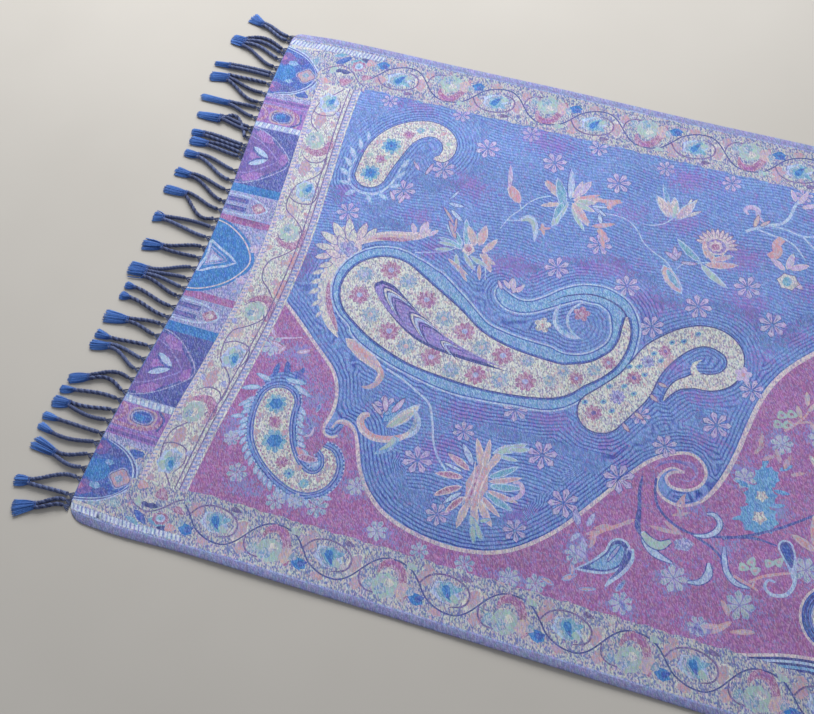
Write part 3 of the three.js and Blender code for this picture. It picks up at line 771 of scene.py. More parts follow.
# pale hooks with a dark edge
for path, halves, mix in (
        ([(654, -180), (656, -192), (661, -206), (672, -215), (686, -216)], [1, 2.2, 2.4, 2.2, 0.6], "white"),
        ([(622, -177), (634, -174), (643, -166), (645, -156), (638, -149), (630, -150)],
         [0.8, 2, 2.6, 2.4, 2, 0.8], "white"),
        ([(572, -188), (578, -199), (589, -208), (607, -213)], [1.8, 3.6, 3.4, 0.8], "white"),
        ([(572, -190), (582, -197), (592, -198), (601, -190)], [2.4, 4.4, 4.4, 1.6], "mint"),
        ([(626, -228), (638, -224), (644, -214), (642, -202)], [0.8, 2.6, 3.8, 1], "white")):
    band(path, [half + 1.2 for half in halves], "indigo")
    band(path, halves, mix)
petals([(598, -150, 18, 4, 60), (604, -154, 18, 4, 84), (596, -162, 20, 4, 20), (606, -164, 16, 4, 110),
        (576, -180, 36, 5, -4), (590, -170, 22, 5, -30)], "blush")
paint(oval((614, -190), 10, 7, 20, 14, 5, 0.12), "lavender")
band([(716, -166), (722, -176), (726, -188), (727, -200), (721, -212), (708, -216), (700, -210), (702, -202),
      (709, -202)], [1.1, 1.3, 1.8, 2.0, 2.0, 1.8, 1.6, 1.4, 1.0], "white")
comma([(713, -162), (718, -171), (723, -182), (727, -196)], [8, 7, 4.6, 1], "white")
comma([(713, -162), (718, -171), (722, -182)], [6, 5, 1], "indigo")
comma([(713, -163), (717, -171), (721, -179)], [3.6, 2.8, 0.6], "royal")
for u, v, turn in ((676, -196, 0), (688, -196, 40), (700, -184, 20), (709, -180, 60), (683, -188, 80)):
    paint(oval((u, v), 5.4, 4.4, turn, 12, 3, 0.2), "mint")
    paint(oval((u, v), 2.4, 1.8, turn, 7), "blush")
stems([[(668, -208), (682, -212), (694, -216)], [(684, -210), (696, -200), (712, -192), (722, -188)],
       [(688, -214), (690, -206)]], "coral", 1.5)
# a blue leaf with a folded end
comma([(553, -214), (551, -224), (543, -233), (532, -240), (516, -247)], [12, 12.5, 11, 7, 0.8], "white")
comma([(553, -214), (551, -224), (543, -233), (533, -239), (520, -245)], [9.6, 10, 8.4, 4.8, 0.4], "indigo")
comma([(552, -216), (550, -226), (541, -234), (530, -240)], [7, 7.6, 6.2, 1.5], "cyan")
leaf((554, -208), 26, 6, -112, "haze", "royal")
band([(564, -210), (566, -222), (561, -236), (553, -248), (549, -256)], [3.6, 4.2, 3.6, 2.6, 1], "white")
band([(564, -212), (564, -222), (559, -235), (552, -247)], [2.0, 2.4, 2.0, 0.8], "indigo")
stems([[(522, -212), (532, -200), (546, -190), (558, -180)]], "coral", 2.0)
petals([(532, -202, 16, 6, 196), (540, -192, 18, 6, 200), (528, -208, 14, 5, 250), (550, -186, 14, 5, 30)],
       "blush", "coral", 1.0)
petals([(508, -202, 20, 9, 110), (516, -200, 18, 8, 70), (512, -208, 16, 7, 230), (520, -230, 20, 8, 100),
        (526, -234, 18, 7, 150)], "haze", "violet", 0.9)
# the ringed flowers and the coral branch by the rise
for u, v in ((684, -16), (694, -12), (682, -28), (692, -26)):
    paint(oval((u, v), 5.6, 5, 0, 12, 3, 0.16), "mint")
    paint(oval((u, v), 2.4, 2, 0, 7), "rose")
stems([[(690, -34), (700, -22), (708, -10), (712, 4)], [(702, -20), (714, -16), (722, -22)],
       [(700, -24), (690, -20)]], "coral", 1.3)
petals([(704, -14, 16, 6, 110), (710, -4, 14, 5, 60), (714, -18, 16, 6, -30), (708, 2, 18, 6, 95)], "peach")
petals([(664, -70, 20, 6, 60), (672, -74, 18, 6, 30), (668, -62, 20, 6, 84), (696, -78, 20, 7, 70),
        (704, -82, 18, 6, 20), (692, -72, 18, 6, 110)], "blush", "rose", 1.0)
petals([(736, -70, 30, 12, 80), (738, -72, 26, 10, 130), (740, -76, 28, 11, 30), (736, -82, 28, 10, -90)],
       "cream", "peach")

# The middle: two blue paisleys turned about each other, with blooms and vines between them.
MIDDLE_BLOOMS = [(800, -40), (770, 40), (806, 60), (842, 104), (752, -20), (812, -82), (830, 20), (770, 0)]
CENTRE = [(772, -222), (810, -216), (850, -203), (890, -180), (918, -148), (930, -112), (924, -78),
          (905, -52), (882, -44), (867, -54), (868, -70)]
CENTRE_REACH = [36, 42, 46, 44, 38, 31, 24, 17, 12, 8, 4]
SLIVER = [(676, -286), (700, -279), (730, -270), (762, -265), (800, -267), (836, -280), (850, -290)]
for k, (u, v) in enumerate(MIDDLE_BLOOMS):
    if k % 2:
        flower(u, v, 1.1, "haze", "violet", "mist")
    else:
        rosette(u, v, 2.2, ("teal", "bright", "coral", "mint")[k // 2 % 4], 12 * k)
stems([[(752, -20), (774, -26), (800, -40), (818, -62)],
       [(770, 40), (790, 46), (806, 60), (822, 84), (842, 104)], [(774, -26), (790, -4), (820, 8), (850, 2)]],
      "plum", 0.9)
petals([(786, -32, 18, 6, 60), (812, -52, 18, 6, -20), (798, 50, 18, 6, -40), (814, 72, 18, 6, 150),
        (796, 0, 20, 6, 80), (824, 8, 20, 6, -50), (850, 2, 22, 7, 20)], "mint", "white")
rings(CENTRE, CENTRE_REACH, [(0, "line"), (2.6, "royal"), (4.6, "dark"), (6.2, "blue"), (8.2, "dark"),
                             (9.8, "blue"), (11.8, "mist"), (13.2, "cream")])
for k, (u, v) in enumerate([(784, -236), (792, -208), (818, -232), (822, -200), (850, -222), (852, -186),
                            (880, -200), (878, -164), (904, -172), (898, -138), (919, -136), (917, -108)]):
    bloom(u, v, 7.5, ("rose", "teal")[k % 2], "pale", 17 * k)
comma([(800, -220), (838, -207), (868, -190), (890, -162), (902, -130)], [7, 10, 10, 8, 2], "dark")
comma([(800, -220), (838, -207), (868, -190), (890, -162), (900, -136)], [5.6, 8.6, 8.6, 6.6, 1.4], "violet")
frill([(790, -178, 26, 8, 150), (820, -168, 26, 8, 128), (848, -156, 24, 8, 124), (872, -134, 24, 8, 132),
       (888, -108, 22, 7, 150), (764, -184, 22, 8, 165)], "mint", "white")
petals([(744, -150, 40, 12, 40), (740, -152, 36, 11, 92), (748, -156, 34, 11, -8), (742, -158, 28, 9, 150)],
       "coral", "peach")
stems([[(748, -156), (768, -140), (796, -128), (824, -118), (846, -98)]], "plum", 1.0)
petals([(846, -98, 30, 10, 60), (844, -100, 28, 10, 118), (848, -104, 26, 9, 10)], "mint", "white")
petals([(850, -90, 24, 9, 92), (842, -96, 22, 8, 160)], "coral", "peach")
# the striped sliver along the side border
for drop, mix in ((0, "line"), (3.4, "dark"), (6.2, "white"), (8.8, "dark"), (11.4, "cyan"), (14.2, "dark")):
    paint([(u, v - drop) for u, v in curve(SLIVER, 4)] + [(850, -300), (676, -300)], mix)
field_last = len(painted)


# The side borders: a vine repeated along a linen strip, and the plain selvedge outside it.
REPEAT = 125.0
FIRST = 150.0
FIELD_SIDE = 283.0
SIDE_MIDDLE = 309
SELVEDGE = 342.0
VINE = [(-62, -17), (-52, -16), (-40, -11), (-30, -1), (-20, 11), (-8, 18), (4, 21), (16, 20), (26, 13),
        (34, 3), (43, -8), (53, -15), (63, -17)]
SPUR_A = [(-30, -1), (-22, -12), (-8, -17), (8, -15), (20, -8), (23, 2), (18, 10), (6, 14)]
SPUR_B = [(34, 3), (36, 14), (44, 21), (54, 22)]


def side_strip(v0, v1, mix, ragged=0.0):
    """A strip along the whole length, its inner edge ragged by a few floats."""
    count = 300 if ragged else 30
    inner, outer = [], []
    for k in range(count + 1):
        u = -OVERRUN + (LONG + 2 * OVERRUN) * k / count
        inner.append((u, v0 + ragged * (math.sin(k * 2.4) + math.sin(k * 5.3))))
        outer.append((u, v1))
    paint(inner + outer[::-1], mix)


def side_motif(at, side):
    """One repeat of the vine, drawn about its own middle."""
    first = len(painted)
    dots([(27, 1, 9, 14, 10, "pale"), (27, -1, 6, 10, 10, "blush"), (34, 18, 6, 7, 10, "blush"),
          (-25, -8, 8, 8, 10, "blush"), (-44, 12, 7, 9, 10, "peach"), (-6, 23, 7, 4, 10, "blush"),
          (-2, 0, 15, 11, 10, "white"), (100, -19, 6, 3.4, 10, "blush"), (45, 15, 4.5, 8, 10, "slate")], 12,
         5, 0.12)
    band(VINE, 0.85, "dark", 3)
    band(SPUR_A, [1.0] * 7 + [0.5], "plum", 3)
    band(SPUR_B, 0.9, "plum", 3)
    # the blue bloom, its petals swept to one side, with mint ones behind them
    dots([(8, 5, 6, 4, 20, "mint"), (9, -5, 5, 3, -30, "teal"), (-2, -1, 12, 9.5, 62, "slate"),
          (0, -1, 10.5, 7, 58, "teal"), (8, 4, 4, 3, 20, "mint"), (-1, -1, 7.5, 4, 60, "azure"),
          (2, 4, 3.5, 1.5, 50, "royal")], 10, 3, 0.16)
    # the mint round and the crescent beside it
    paint(oval((63, 12), 13.5, 13, 0, 20, 8, 0.08), "mint")
    paint(oval((60, 16), 6, 7, 20, 10, 5, 0.16), "slate")
    paint(oval((66, 8), 5, 5, 0, 8, 3, 0.2), "pale")
    band([(52, 1), (54, -7), (60, -12), (68, -12), (75, -6), (80, 4), (84, 14), (84, 23)],
         [1, 3, 4.6, 5, 4.6, 4, 3.8, 1.4], "rose", 3)
    band([(56, -8), (62, -13), (70, -12), (76, -5)], [0.6, 2.2, 2.2, 0.6], "magenta", 3)
    # the bud
    paint(oval((-28, 16), 8, 6, 20, 12, 5, 0.12), "azure")
    dots([(-25, 15, 5, 3.4, -30, "royal"), (-36, 11, 4, 5, 20, "slate"), (-42, -15, 6, 3.4, 10, "mint"),
          (15, -19, 6, 3, 10, "plum")], 9, 3, 0.2)
    moved(first, lambda p, q: (at + p, side * (SIDE_MIDDLE + q)))


for side in (1, -1):
    side_strip(side * FIELD_SIDE, side * SELVEDGE, "linen", 0.8)
    side_strip(side * SELVEDGE, side * (HALF + PAST_SIDE), "selvedge")
    side_strip(side * (SELVEDGE - 1.6), side * (SELVEDGE + 0.2), "mist")
    for k in range(13):
        side_motif(FIRST + REPEAT * k, side)


# The end: a band of arches and panels beside the hem, and a border with its own vine inside it.
BAND_END = 57.0
BORDER_END = 112.5
CROSS_VINE = [(70, 0), (74, 14), (88, 26), (99, 42), (97, 62), (84, 76), (70, 86), (68, 104), (74, 124),
              (88, 136), (98, 150), (99, 172), (92, 190), (78, 206), (66, 218), (64, 236), (70, 256),
              (82, 268), (92, 280)]
CROSS_SPURS = [[(97, 62), (90, 50), (76, 44), (68, 52)],
               [(68, 104), (80, 98), (98, 102), (102, 120), (94, 134)],
               [(99, 172), (92, 162), (78, 160), (68, 168)],
               [(64, 236), (74, 232), (90, 236), (95, 252), (88, 266)]]


def strip(s0, s1, v0, v1, mix):
    rows = max(2, round(abs(v1 - v0) / 14))
    edge = [v0 + (v1 - v0) * k / rows for k in range(rows + 1)]
    paint([(s0, v) for v in edge] + [(s1, v) for v in edge[::-1]], mix)


def stripe(v0, v1, mix):
    strip(-OVERRUN, BAND_END, v0, v1, mix)


def outer_arch():
    stripe(250, 339, "linen")
    dots([(42, 314, 8, 7, 20, "slate"), (24, 322, 9, 4, -20, "slate"), (52, 300, 4, 8, 0, "mist"),
          (42, 257, 8, 6, -20, "royal"), (52, 272, 3, 8, 0, "mist"), (20, 330, 20, 3, 0, "pale")], 12, 3, 0.2)
    paint(curve([(-12, 329), (6, 325), (26, 317), (42, 305), (50, 289), (47, 273), (33, 260), (12, 251),
                 (-12, 248)], 4), "royal")
    dots([(2, 309, 16, 9, 0, "orchid"), (2, 261, 16, 8, 0, "orchid"), (22, 262, 10, 5, 0, "indigo"),
          (24, 308, 10, 5, 0, "indigo"), (10, 286, 16, 13, 0, "azure"), (20, 274, 5, 3, 0, "cyan"),
          (16, 303, 6, 4, 0, "cyan"), (-2, 309, 8, 5, 0, "magenta"), (-2, 261, 8, 4, 0, "magenta")], 14, 5,
         0.12)
    for grow, half, mix in ((0, 1.0, "white"), (2.4, 1.1, "indigo"), (4.8, 0.9, "white")):
        band([(-12, 327 + grow * 0.5), (8, 323 + grow * 0.6), (28, 315 + grow * 0.6), (43, 303 + grow * 0.4),
              (50 + grow * 0.8, 289), (46 + grow * 0.8, 272 - grow * 0.2),
              (31 + grow * 0.4, 258 - grow * 0.4), (8, 250 - grow * 0.5)], half, mix)
    dots([(38, 287, 12, 11.5, 0, "mist"), (38, 287, 10.4, 10, 0, "plum"), (38, 287, 9.4, 9, 0, "blush")], 20,
         4, 0.12)
    paint(oval((37, 288), 4.6, 4, 0, 12, 4, 0.15), "slate")


def ring_panel():
    for v0, v1, mix in ((243, 250, "lavender"), (203, 243, "lilac"), (237, 241, "orchid"),
                        (231, 234, "violet")):
        stripe(v0, v1, mix)
    band([(-12, 229), (20, 229), (37, 227), (48, 220), (50, 211), (46, 203)], 2.2, "rose")
    band([(-12, 225), (4, 224), (10, 215), (4, 206), (-12, 205)], 2.2, "rose")
    band([(42, 203), (52, 212), (50, 226)], 1.2, "indigo")
    paint(oval((29, 215), 16.5, 11.6, 0, 20, 4, 0.06, 45), "blush")
    paint(oval((29, 215), 14, 9.6, 0, 20, 4, 0.06, 45), "plum")
    paint(oval((29, 215), 12.6, 8.4, 0, 18), "lavender")
    paint(oval((29, 215), 10.6, 7, 0, 16), "royal")
    paint(oval((27, 216), 6, 3.6, 10, 12), "azure")
    # slanted dashes between the panels
    strip(-OVERRUN, 58, 194, 203, "mist")
    for k in range(13):
        dash = [(4.6 * k, 195), (3.4 + 4.6 * k, 195), (5.4 + 4.6 * k, 202.2), (2.0 + 4.6 * k, 202.2)]
        paint(dash, "snow" if k % 2 else "white")


def purple_arch():
    stripe(106, 194, "indigo")
    paint(curve([(-12, 192), (14, 186), (36, 171), (52, 150), (36, 130), (14, 114), (-12, 108)], 4), "orchid")
    dots([(18, 181, 13, 6, -30, "lilac"), (18, 120, 13, 6, 30, "lilac"), (47, 154, 5, 9, 0, "lilac"),
          (14, 150, 7, 6, 0, "lilac")], 15, 5, 0.14)
    band([(-6, 181), (14, 174), (34, 158), (40, 150), (34, 142), (14, 126), (-6, 119)], 0.9, "violet")
    band([(-12, 195), (14, 190), (38, 174), (55, 150), (38, 127), (14, 110), (-12, 105)], 0.8, "lavender")
    for v, lean in ((163, -32), (137, 32)):
        paint(placed(leaf_form(26, 10, 0.5), (8, v), lean), "indigo")
        paint(placed(leaf_form(23, 7.6, 0.5), (9.5, v - math.copysign(0.8, lean)), lean), "white")


def barred_panel():
    for v0, v1, mix in ((94, 106, "azure"), (92.6, 94.4, "mist"), (60, 93, "lavender")):
        stripe(v0, v1, mix)
    for v in (82.5, 70.5):
        for start, end, half, mix in ((-2, 26, 4.8, "mist"), (-2, 25, 3.2, "indigo"), (0, 22, 1.2, "grape")):
            band([(start, v), (12, v), (end, v)], half, mix)
    band([(-4, 89.5), (18, 89.5), (34, 86.5), (48, 76.5), (34, 66.5), (18, 63.5), (-4, 63.5)], 1.2, "white")
    paint(oval((38, 76.5), 7.5, 7, 0, 12, 4, 0.12), "rose")
    paint(oval((38, 76.5), 4, 3.6, 0, 9), "line")
    stripe(50, 60, "magenta")
    stripe(59.4, 61, "mist")


def half_of_band():
    outer_arch()
    ring_panel()
    purple_arch()
    barred_panel()


def half_of_border():
    dots([(100, 20, 7, 13, 0, "coral"), (76, 150, 7, 13, 0, "blush"), (76, 88, 7, 13, 0, "peach"),
          (76, 225, 7, 13, 0, "blush")], 12, 5, 0.12)
    dots([(80 + 8 * math.sin(v), v, 9, 7, 0, "pale") for v in (0, 56, 100, 140, 176, 240, 270)], 10, 5, 0.12)
    band(CROSS_VINE, 0.8, "plum", 3)
    for path in CROSS_SPURS:
        band(path, [0.8] * (len(path) - 1) + [0.3], "plum", 3)
    for v, u in ((117, 86), (253, 79)):
        paint(oval((u, v), 12.5, 15, 10, 14, 7, 0.09), "white")
        dots([(u - 5, v + 6, 6, 4, 60, "mint"), (u + 5, v - 5, 7, 5, 20, "slate"),
              (u + 2, v + 3, 9, 5.5, 70, "teal"), (u + 3, v + 3, 5, 3, 64, "azure"),
              (u - 4, v - 6, 5, 3, 110, "mint")], 10, 3, 0.14)
    for v, u in ((56, 83), (193, 78)):
        paint(oval((u, v), 11.5, 12.5, 0, 24, 8, 0.08), "mint")
        paint(oval((u, v + 1), 5, 6, 0, 12, 6, 0.12), "pale")
        paint(oval((u - 4, v + 3), 4, 5, 30, 10, 5, 0.16), "slate")
        band([(u - 13, v - 11), (u - 4, v - 17), (u + 8, v - 18), (u + 17, v - 10), (u + 20, v + 2),
              (u + 16, v + 10)], [1, 3.6, 5, 5, 4, 0.8], "rose", 3)
    dots([(u, v, 4, 4.6, 20, "blush") for u, v in ((66, 30), (96, 84), (66, 132), (96, 200), (66, 180),
                                                   (94, 222), (68, 276), (90, 14))], 9, 3, 0.22)
    dots([(u, v, 4.4, 3.6, 40, "haze") for u, v in ((66, 74), (92, 152), (66, 150), (96, 240), (66, 204))],
         9, 3, 0.24)


def corner():
    """Where the border across meets a side border, and the dashed strip at its selvedge."""
    paint([(50, 282), (58, 282), (116, 282), (116, 338), (50, 338)], "linen")
    paint([(-OVERRUN, 331), (110, 331), (126, 334), (126, 339), (-OVERRUN, 339)], "mist")
    for k in range(28):
        u = -4 + 4.6 * k
        paint([(u, 331.5), (u + 2.6, 331.5), (u + 4.6, 338.5), (u + 2.0, 338.5)], "snow")
    for u, v, long, wide, turn, mix in ((66, 316, 22, 9, 28, "royal"), (70, 306, 20, 8, -8, "dark"),
                                        (84, 322, 22, 10, 4, "teal"), (60, 326, 18, 6, 10, "teal"),
                                        (96, 330, 16, 6, -18, "dark"), (64, 298, 16, 8, 60, "mint")):
        paint(placed(leaf_form(long, wide, 0.5, 3), (u, v), turn), mix)
    paint(oval((97, 318), 9, 8, 0, 14, 7, 0.1), "rose")
    dots([(97, 318, 5.5, 5, 0, "white"), (97, 318, 2.6, 2.4, 0, "teal")], 8)
    paint(oval((88, 291), 8, 6, 30, 12, 3, 0.2), "rose")
    dots([(112, 304, 7, 4, 20, "rose"), (64, 286, 6, 5, 0, "coral"), (110, 326, 6, 5, 0, "coral")], 10, 3,
         0.2)
    paint(oval((78, 300), 5, 4, 0, 8), "pale")
    band([(54, 300), (62, 308), (78, 314), (92, 308), (104, 296), (114, 290)], 0.8, "plum", 3)


def end_place(u, v):
    """Where a point of the end band and its border lies once they follow the bowed hem."""
    bow = math.cos(math.pi * v / HEM_BOW_HALF)
    into_band = min(max(u, 0) / 51, 1)
    past_band = min(max((u - 51) / 60, 0), 1)
    # a few millimetres wider than drawn, most at the middle, and drawn in towards one side
    wide = (4 + 2 * bow) * into_band * (1 - 0.35 * past_band)
    return u + hem_bow(v) + wide, v - 4 * min(1, (345 - abs(v)) / 45)


end_first = len(painted)
stripe(-339, 339, "indigo")
both_sides(half_of_band)
# the middle arch
strip(-OVERRUN, BAND_END + 1, -50, 50, "lavender")
paint(curve([(-14, 54), (10, 51), (30, 40), (46, 24), (56, 2), (46, -22), (30, -40), (10, -51), (-14, -54)],
            5), "azure")
band([(-12, 50), (10, 47), (29, 36), (43, 21), (51, 2), (43, -20), (29, -36), (10, -47), (-12, -50)], 0.8,
     "line")
band([(2, 20), (15, 12), (37, -2), (15, -16), (2, -24), (5, -2), (2, 20)], 1.5, "white", 2)
paint([(6, 9), (15, 3), (25, -2), (15, -8), (6, -13)], "lavender")
paint([(9, 3), (16, 0), (21, -2), (16, -5), (9, -8)], "white")
band([(5, 12), (15, 6.5), (27, -2), (15, -10), (5, -15)], 0.8, "mist", 2)
for side in (1, -1):
    rosette(49, side * 38, 1.3, "mist", 10)
    rosette(50, side * 22, 0.9, "pink", 30)
# the plain blue edge along the hem
strip(-14, 1.0, -345, 345, "hem")
# the border across
strip(BAND_END, BORDER_END, -FIELD_SIDE - 1, FIELD_SIDE + 1, "cream")
both_sides(half_of_border)
for s in (98.2, 103.4):
    strip(s - 0.8, s + 0.8, -FIELD_SIDE, FIELD_SIDE, "plum")
for s, long, pitch, ground, mix in ((60.4, 5.4, 5.2, "line", "mist"), (107.4, 6.0, 5.0, "mist", "line")):
    strip(s - long / 2, s + long / 2, -FIELD_SIDE, FIELD_SIDE, ground)
    for k in range(-int(FIELD_SIDE / pitch), int(FIELD_SIDE / pitch) + 1):
        v = k * pitch
        paint([(s - long / 2 + 0.5, v - 1.6), (s + long / 2 - 0.5, v - 0.4), (s + long / 2 - 0.5, v + 1.5),
               (s - long / 2 + 0.5, v + 0.3)], mix)
both_sides(corner)
moved(end_first, end_place)
# the other half of the shawl is the same, turned half a turn about the middle
far_field = [(half_turn(points), mix) for points, mix in painted[field_first:field_last]]
far_end = [(half_turn(points), mix) for points, mix in painted[end_first:]]
painted[field_last:field_last] = far_field
painted += far_end


# The laid cloth: one woven sheet with nothing sewn on. The pattern's areas are cut into one skin,
# with a rolled edge all round and the reverse of the weave under it. GRID and GRID_UNDER are the
# spacing of its loose points in millimetres.
GRID = 14.0
GRID_UNDER = 38.0
SNAP = 0.05
# areas with a smaller box than this, in square millimetres, do not show on the reverse
BROAD = 12000
MIDLINE = [(LONG / 2, -HALF - 20), (LONG / 2, HALF + 20)]


def hex_grid(step):
    rows = int(2 * HALF / (step * 0.866))
    spots = []
    for j in range(rows + 1):
        shift = step / 2 * (j % 2)
        line = shift + step * np.arange(int(LONG / step) + 1)
        spots.append(np.column_stack([line, np.full(len(line), -HALF + 2 * HALF * j / rows)]))
    return np.vstack(spots)


def winding(polygon, spots):
    """How often a closed polygon winds round each spot."""
    turns = np.zeros(len(spots), int)
    for (au, av), (bu, bv) in zip(polygon, np.roll(polygon, -1, axis=0)):
        if av == bv:
            continue
        near = (spots[:, 1] >= min(av, bv)) & (spots[:, 1] < max(av, bv))
        left = au + (bu - au) * (spots[:, 1] - av) / (bv - av) > spots[:, 0]
        turns += np.where(near & left, 1 if bv > av else -1, 0)
    return turns


def last_area(areas, spots):
    """Index of the last area that covers each spot."""
    order = np.argsort(spots[:, 0])
    sorted_u = spots[order, 0]
    found = np.zeros(len(spots), int)
    for index, polygon in enumerate(areas):
        low, high = polygon.min(axis=0), polygon.max(axis=0)
        first, last = np.searchsorted(sorted_u, (low[0], high[0]))
        some = order[first:last]
        some = some[(spots[some, 1] > low[1]) & (spots[some, 1] < high[1])]
        if len(some):
            found[some[winding(polygon, spots[some]) != 0]] = index
    return found


def cut(loops, loose, edges):
    """Triangles over closed loops, loose points and extra edges between those, inside the first loop."""
    points, lines = [], []
    for loop in loops:
        start = len(points)
        points += [Vector(p) for p in loop]
        lines += [(start + k, start + (k + 1) % len(loop)) for k in range(len(loop))]
    start = len(points)
    points += [Vector(p) for p in loose] + [Vector(p) for p in MIDLINE]
    lines += [(start + a, start + b) for a, b in edges] + [(len(points) - 2, len(points) - 1)]
    done = delaunay_2d_cdt(points, lines, [], 0, SNAP, False)
    spots, faces = np.array([tuple(p) for p in done[0]]), np.array(done[2])
    middles = spots[faces].mean(axis=1)
    kept = winding(np.array(loops[0]), middles) != 0
    return spots, faces[kept], middles[kept]


def woven(areas, mixes, rim, step):
    """The pattern as triangles, with an edge only where two mixes meet."""
    spots, faces, middles = cut([rim] + areas, [], [])
    mix = mixes[last_area(areas, middles)]
    sides = {}
    for face, m in zip(faces.tolist(), mix.tolist()):
        for a, b in ((face[0], face[1]), (face[1], face[2]), (face[2], face[0])):
            sides.setdefault((min(a, b), max(a, b)), []).append(m)
    seams = [edge for edge, both in sides.items() if len(both) == 2 and both[0] != both[1]]
    used = sorted({p for edge in seams for p in edge})
    place = {p: k for k, p in enumerate(used)}
    loose = np.vstack([spots[used], hex_grid(step)])
    spots, faces, middles = cut([rim], loose, [(place[a], place[b]) for a, b in seams])
    return spots, faces, mixes[last_area(areas, middles)]


def rim_of(faces, total):
    """The open edge of a set of triangles as one loop, with the face on each of its edges."""
    start = faces.reshape(-1)
    end = np.roll(faces, -1, axis=1).reshape(-1)
    owner = np.repeat(np.arange(len(faces)), 3)
    open_edge = ~np.isin(start * total + end, end * total + start)
    following = dict(zip(start[open_edge].tolist(), end[open_edge].tolist()))
    face_at = dict(zip(start[open_edge].tolist(), owner[open_edge].tolist()))
    first = min(following)
    loop = [first]
    while following[loop[-1]] != first:
        loop.append(following[loop[-1]])
    return np.array(loop), np.array([face_at[p] for p in loop])


def zipped(upper, lower, upper_at, lower_at):
    """Triangles between two loops of any number of points, matched by their share of the way round."""
    faces = []
    i = j = 0
    while i < len(upper) or j < len(lower):
        a, b = upper[i % len(upper)], lower[j % len(lower)]
        next_a = upper_at[i + 1] if i < len(upper) else math.inf
        next_b = lower_at[j + 1] if j < len(lower) else math.inf
        if next_a <= next_b:
            faces.append((a, b, upper[(i + 1) % len(upper)]))
            i += 1
        else:
            faces.append((a, b, lower[(j + 1) % len(lower)]))
            j += 1
    return np.array(faces)


def way_round(places):
    """The share of the way round a loop at each of its points, and 1 at its end."""
    steps = np.hypot(*(np.roll(places, -1, axis=0) - places).T)
    return np.concatenate([[0], np.cumsum(steps) / steps.sum()])


rim = [tuple(p) for p in outline()]
areas = [np.array(points) for points, mix in painted]
names = list(MIXES)
mix_of = np.array([names.index(mix) for points, mix in painted])
top_flat, top_faces, top_mix = woven(areas, mix_of, rim, GRID)
broad = [k for k, area in enumerate(areas) if np.ptp(area[:, 0]) * np.ptp(area[:, 1]) > BROAD]
under_flat, under_faces, under_mix = woven([areas[k] for k in broad], mix_of[broad], rim, GRID_UNDER)

# the rolled edge steps out from the top's open edge and back in to the reverse's
ROLL = [(0.0, 0.62), (0.25, 0.3)]
EDGE_IN = 0.7
UNDER_IN = 0.4
top_loop, top_owner = rim_of(top_faces, len(top_flat))
under_loop = rim_of(under_faces, len(under_flat))[0]
start = np.argmin(np.hypot(*(under_flat[under_loop] - top_flat[top_loop[0]]).T))
under_loop = np.roll(under_loop, -start)


def inward_of(places):
    run = np.roll(places, -1, axis=0) - np.roll(places, 1, axis=0)
    return np.column_stack([-run[:, 1], run[:, 0]]) / np.hypot(run[:, 0], run[:, 1])[:, None]


edge = top_flat[top_loop].copy()
edge_in = inward_of(edge)
top_at, under_at = way_round(edge), way_round(under_flat[under_loop])
flat = [top_flat.copy()]
flat[0][top_loop] += edge_in * EDGE_IN
height = [np.full(len(top_flat), 1.0)]
for step_in, share in ROLL:
    flat.append(edge + edge_in * step_in)
    height.append(np.full(len(edge), share))
flat.append(under_flat.copy())
flat[-1][under_loop] += inward_of(under_flat[under_loop]) * UNDER_IN
height.append(np.zeros(len(under_flat)))
starts = np.cumsum([0] + [len(part) for part in flat])
down = [top_loop] + [starts[k] + np.arange(len(edge)) for k in range(1, len(ROLL) + 1)]
walls = []
wall_mix = []
for upper, lower in zip(down, down[1:]):
    after, below = np.roll(upper, -1), np.roll(lower, -1)
    walls += [np.column_stack([upper, lower, below]), np.column_stack([upper, below, after])]
    wall_mix += [top_mix[top_owner]] * 2
foot = starts[len(ROLL) + 1] + under_loop
walls.append(zipped(down[-1], foot, top_at, under_at))
wall_mix.append(np.full(len(walls[-1]), names.index("selvedge")))
reverse = starts[len(ROLL) + 1] + under_faces[:, ::-1]
faces = np.vstack([top_faces] + walls + [reverse])
flat = np.vstack(flat)
x, y = on_cloth(flat)
z = lift(x, y) + WALL * np.concatenate(height)
cloth_mesh = bpy.data.meshes.new("cloth_panel")
cloth_mesh.from_pydata((np.column_stack([x, y, z]) * MM).tolist(), [], faces.tolist())
cloth_mesh.polygons.foreach_set("use_smooth", np.ones(len(faces), bool))


def store(made, name, values, domain="FACE"):
    """Keeps one number or one colour for each face or point of a mesh."""
    values = np.asarray(values, float)
    kind, field = ("FLOAT_COLOR", "color") if values.ndim == 2 else ("FLOAT", "value")
    made.attributes.new(name, kind, domain).data.foreach_set(field, values.ravel())


def linear(colour):
    """A colour written in hexadecimal as linear red, green and blue."""
    parts = [int(colour[k:k + 2], 16) / 255 for k in (1, 3, 5)]
    return [((part + 0.055) / 1.055) ** 2.4 if part > 0.04 else part / 12.92 for part in parts]


# what each face shows: its two yarns and the second one's share, and the colour of the clouds in it
ECHOED = {"blue": 1.0, "violet": 0.6, "royal": 0.7}
THIRD = {"blue": "#967ec6", "magenta": "#8690cc", "cream": "#c6a3b2", "linen": "#c3a6b8", "royal": "#7f78bc"}
face_mix = np.concatenate([top_mix] + wall_mix + [under_mix])
is_reverse = np.arange(len(faces)) >= len(faces) - len(reverse)
for attribute, colours in (("yarn_a", [MIXES[name][0] for name in names]),
                           ("yarn_b", [MIXES[name][1] for name in names]),
                           ("third", [THIRD.get(name, MIXES[name][1]) for name in names])):
    store(cloth_mesh, attribute, np.array([linear(colour) + [1.0] for colour in colours])[face_mix])
share = np.array([MIXES[name][2] for name in names])[face_mix]
store(cloth_mesh, "share", np.where(is_reverse, 1 - 0.6 * share, share))

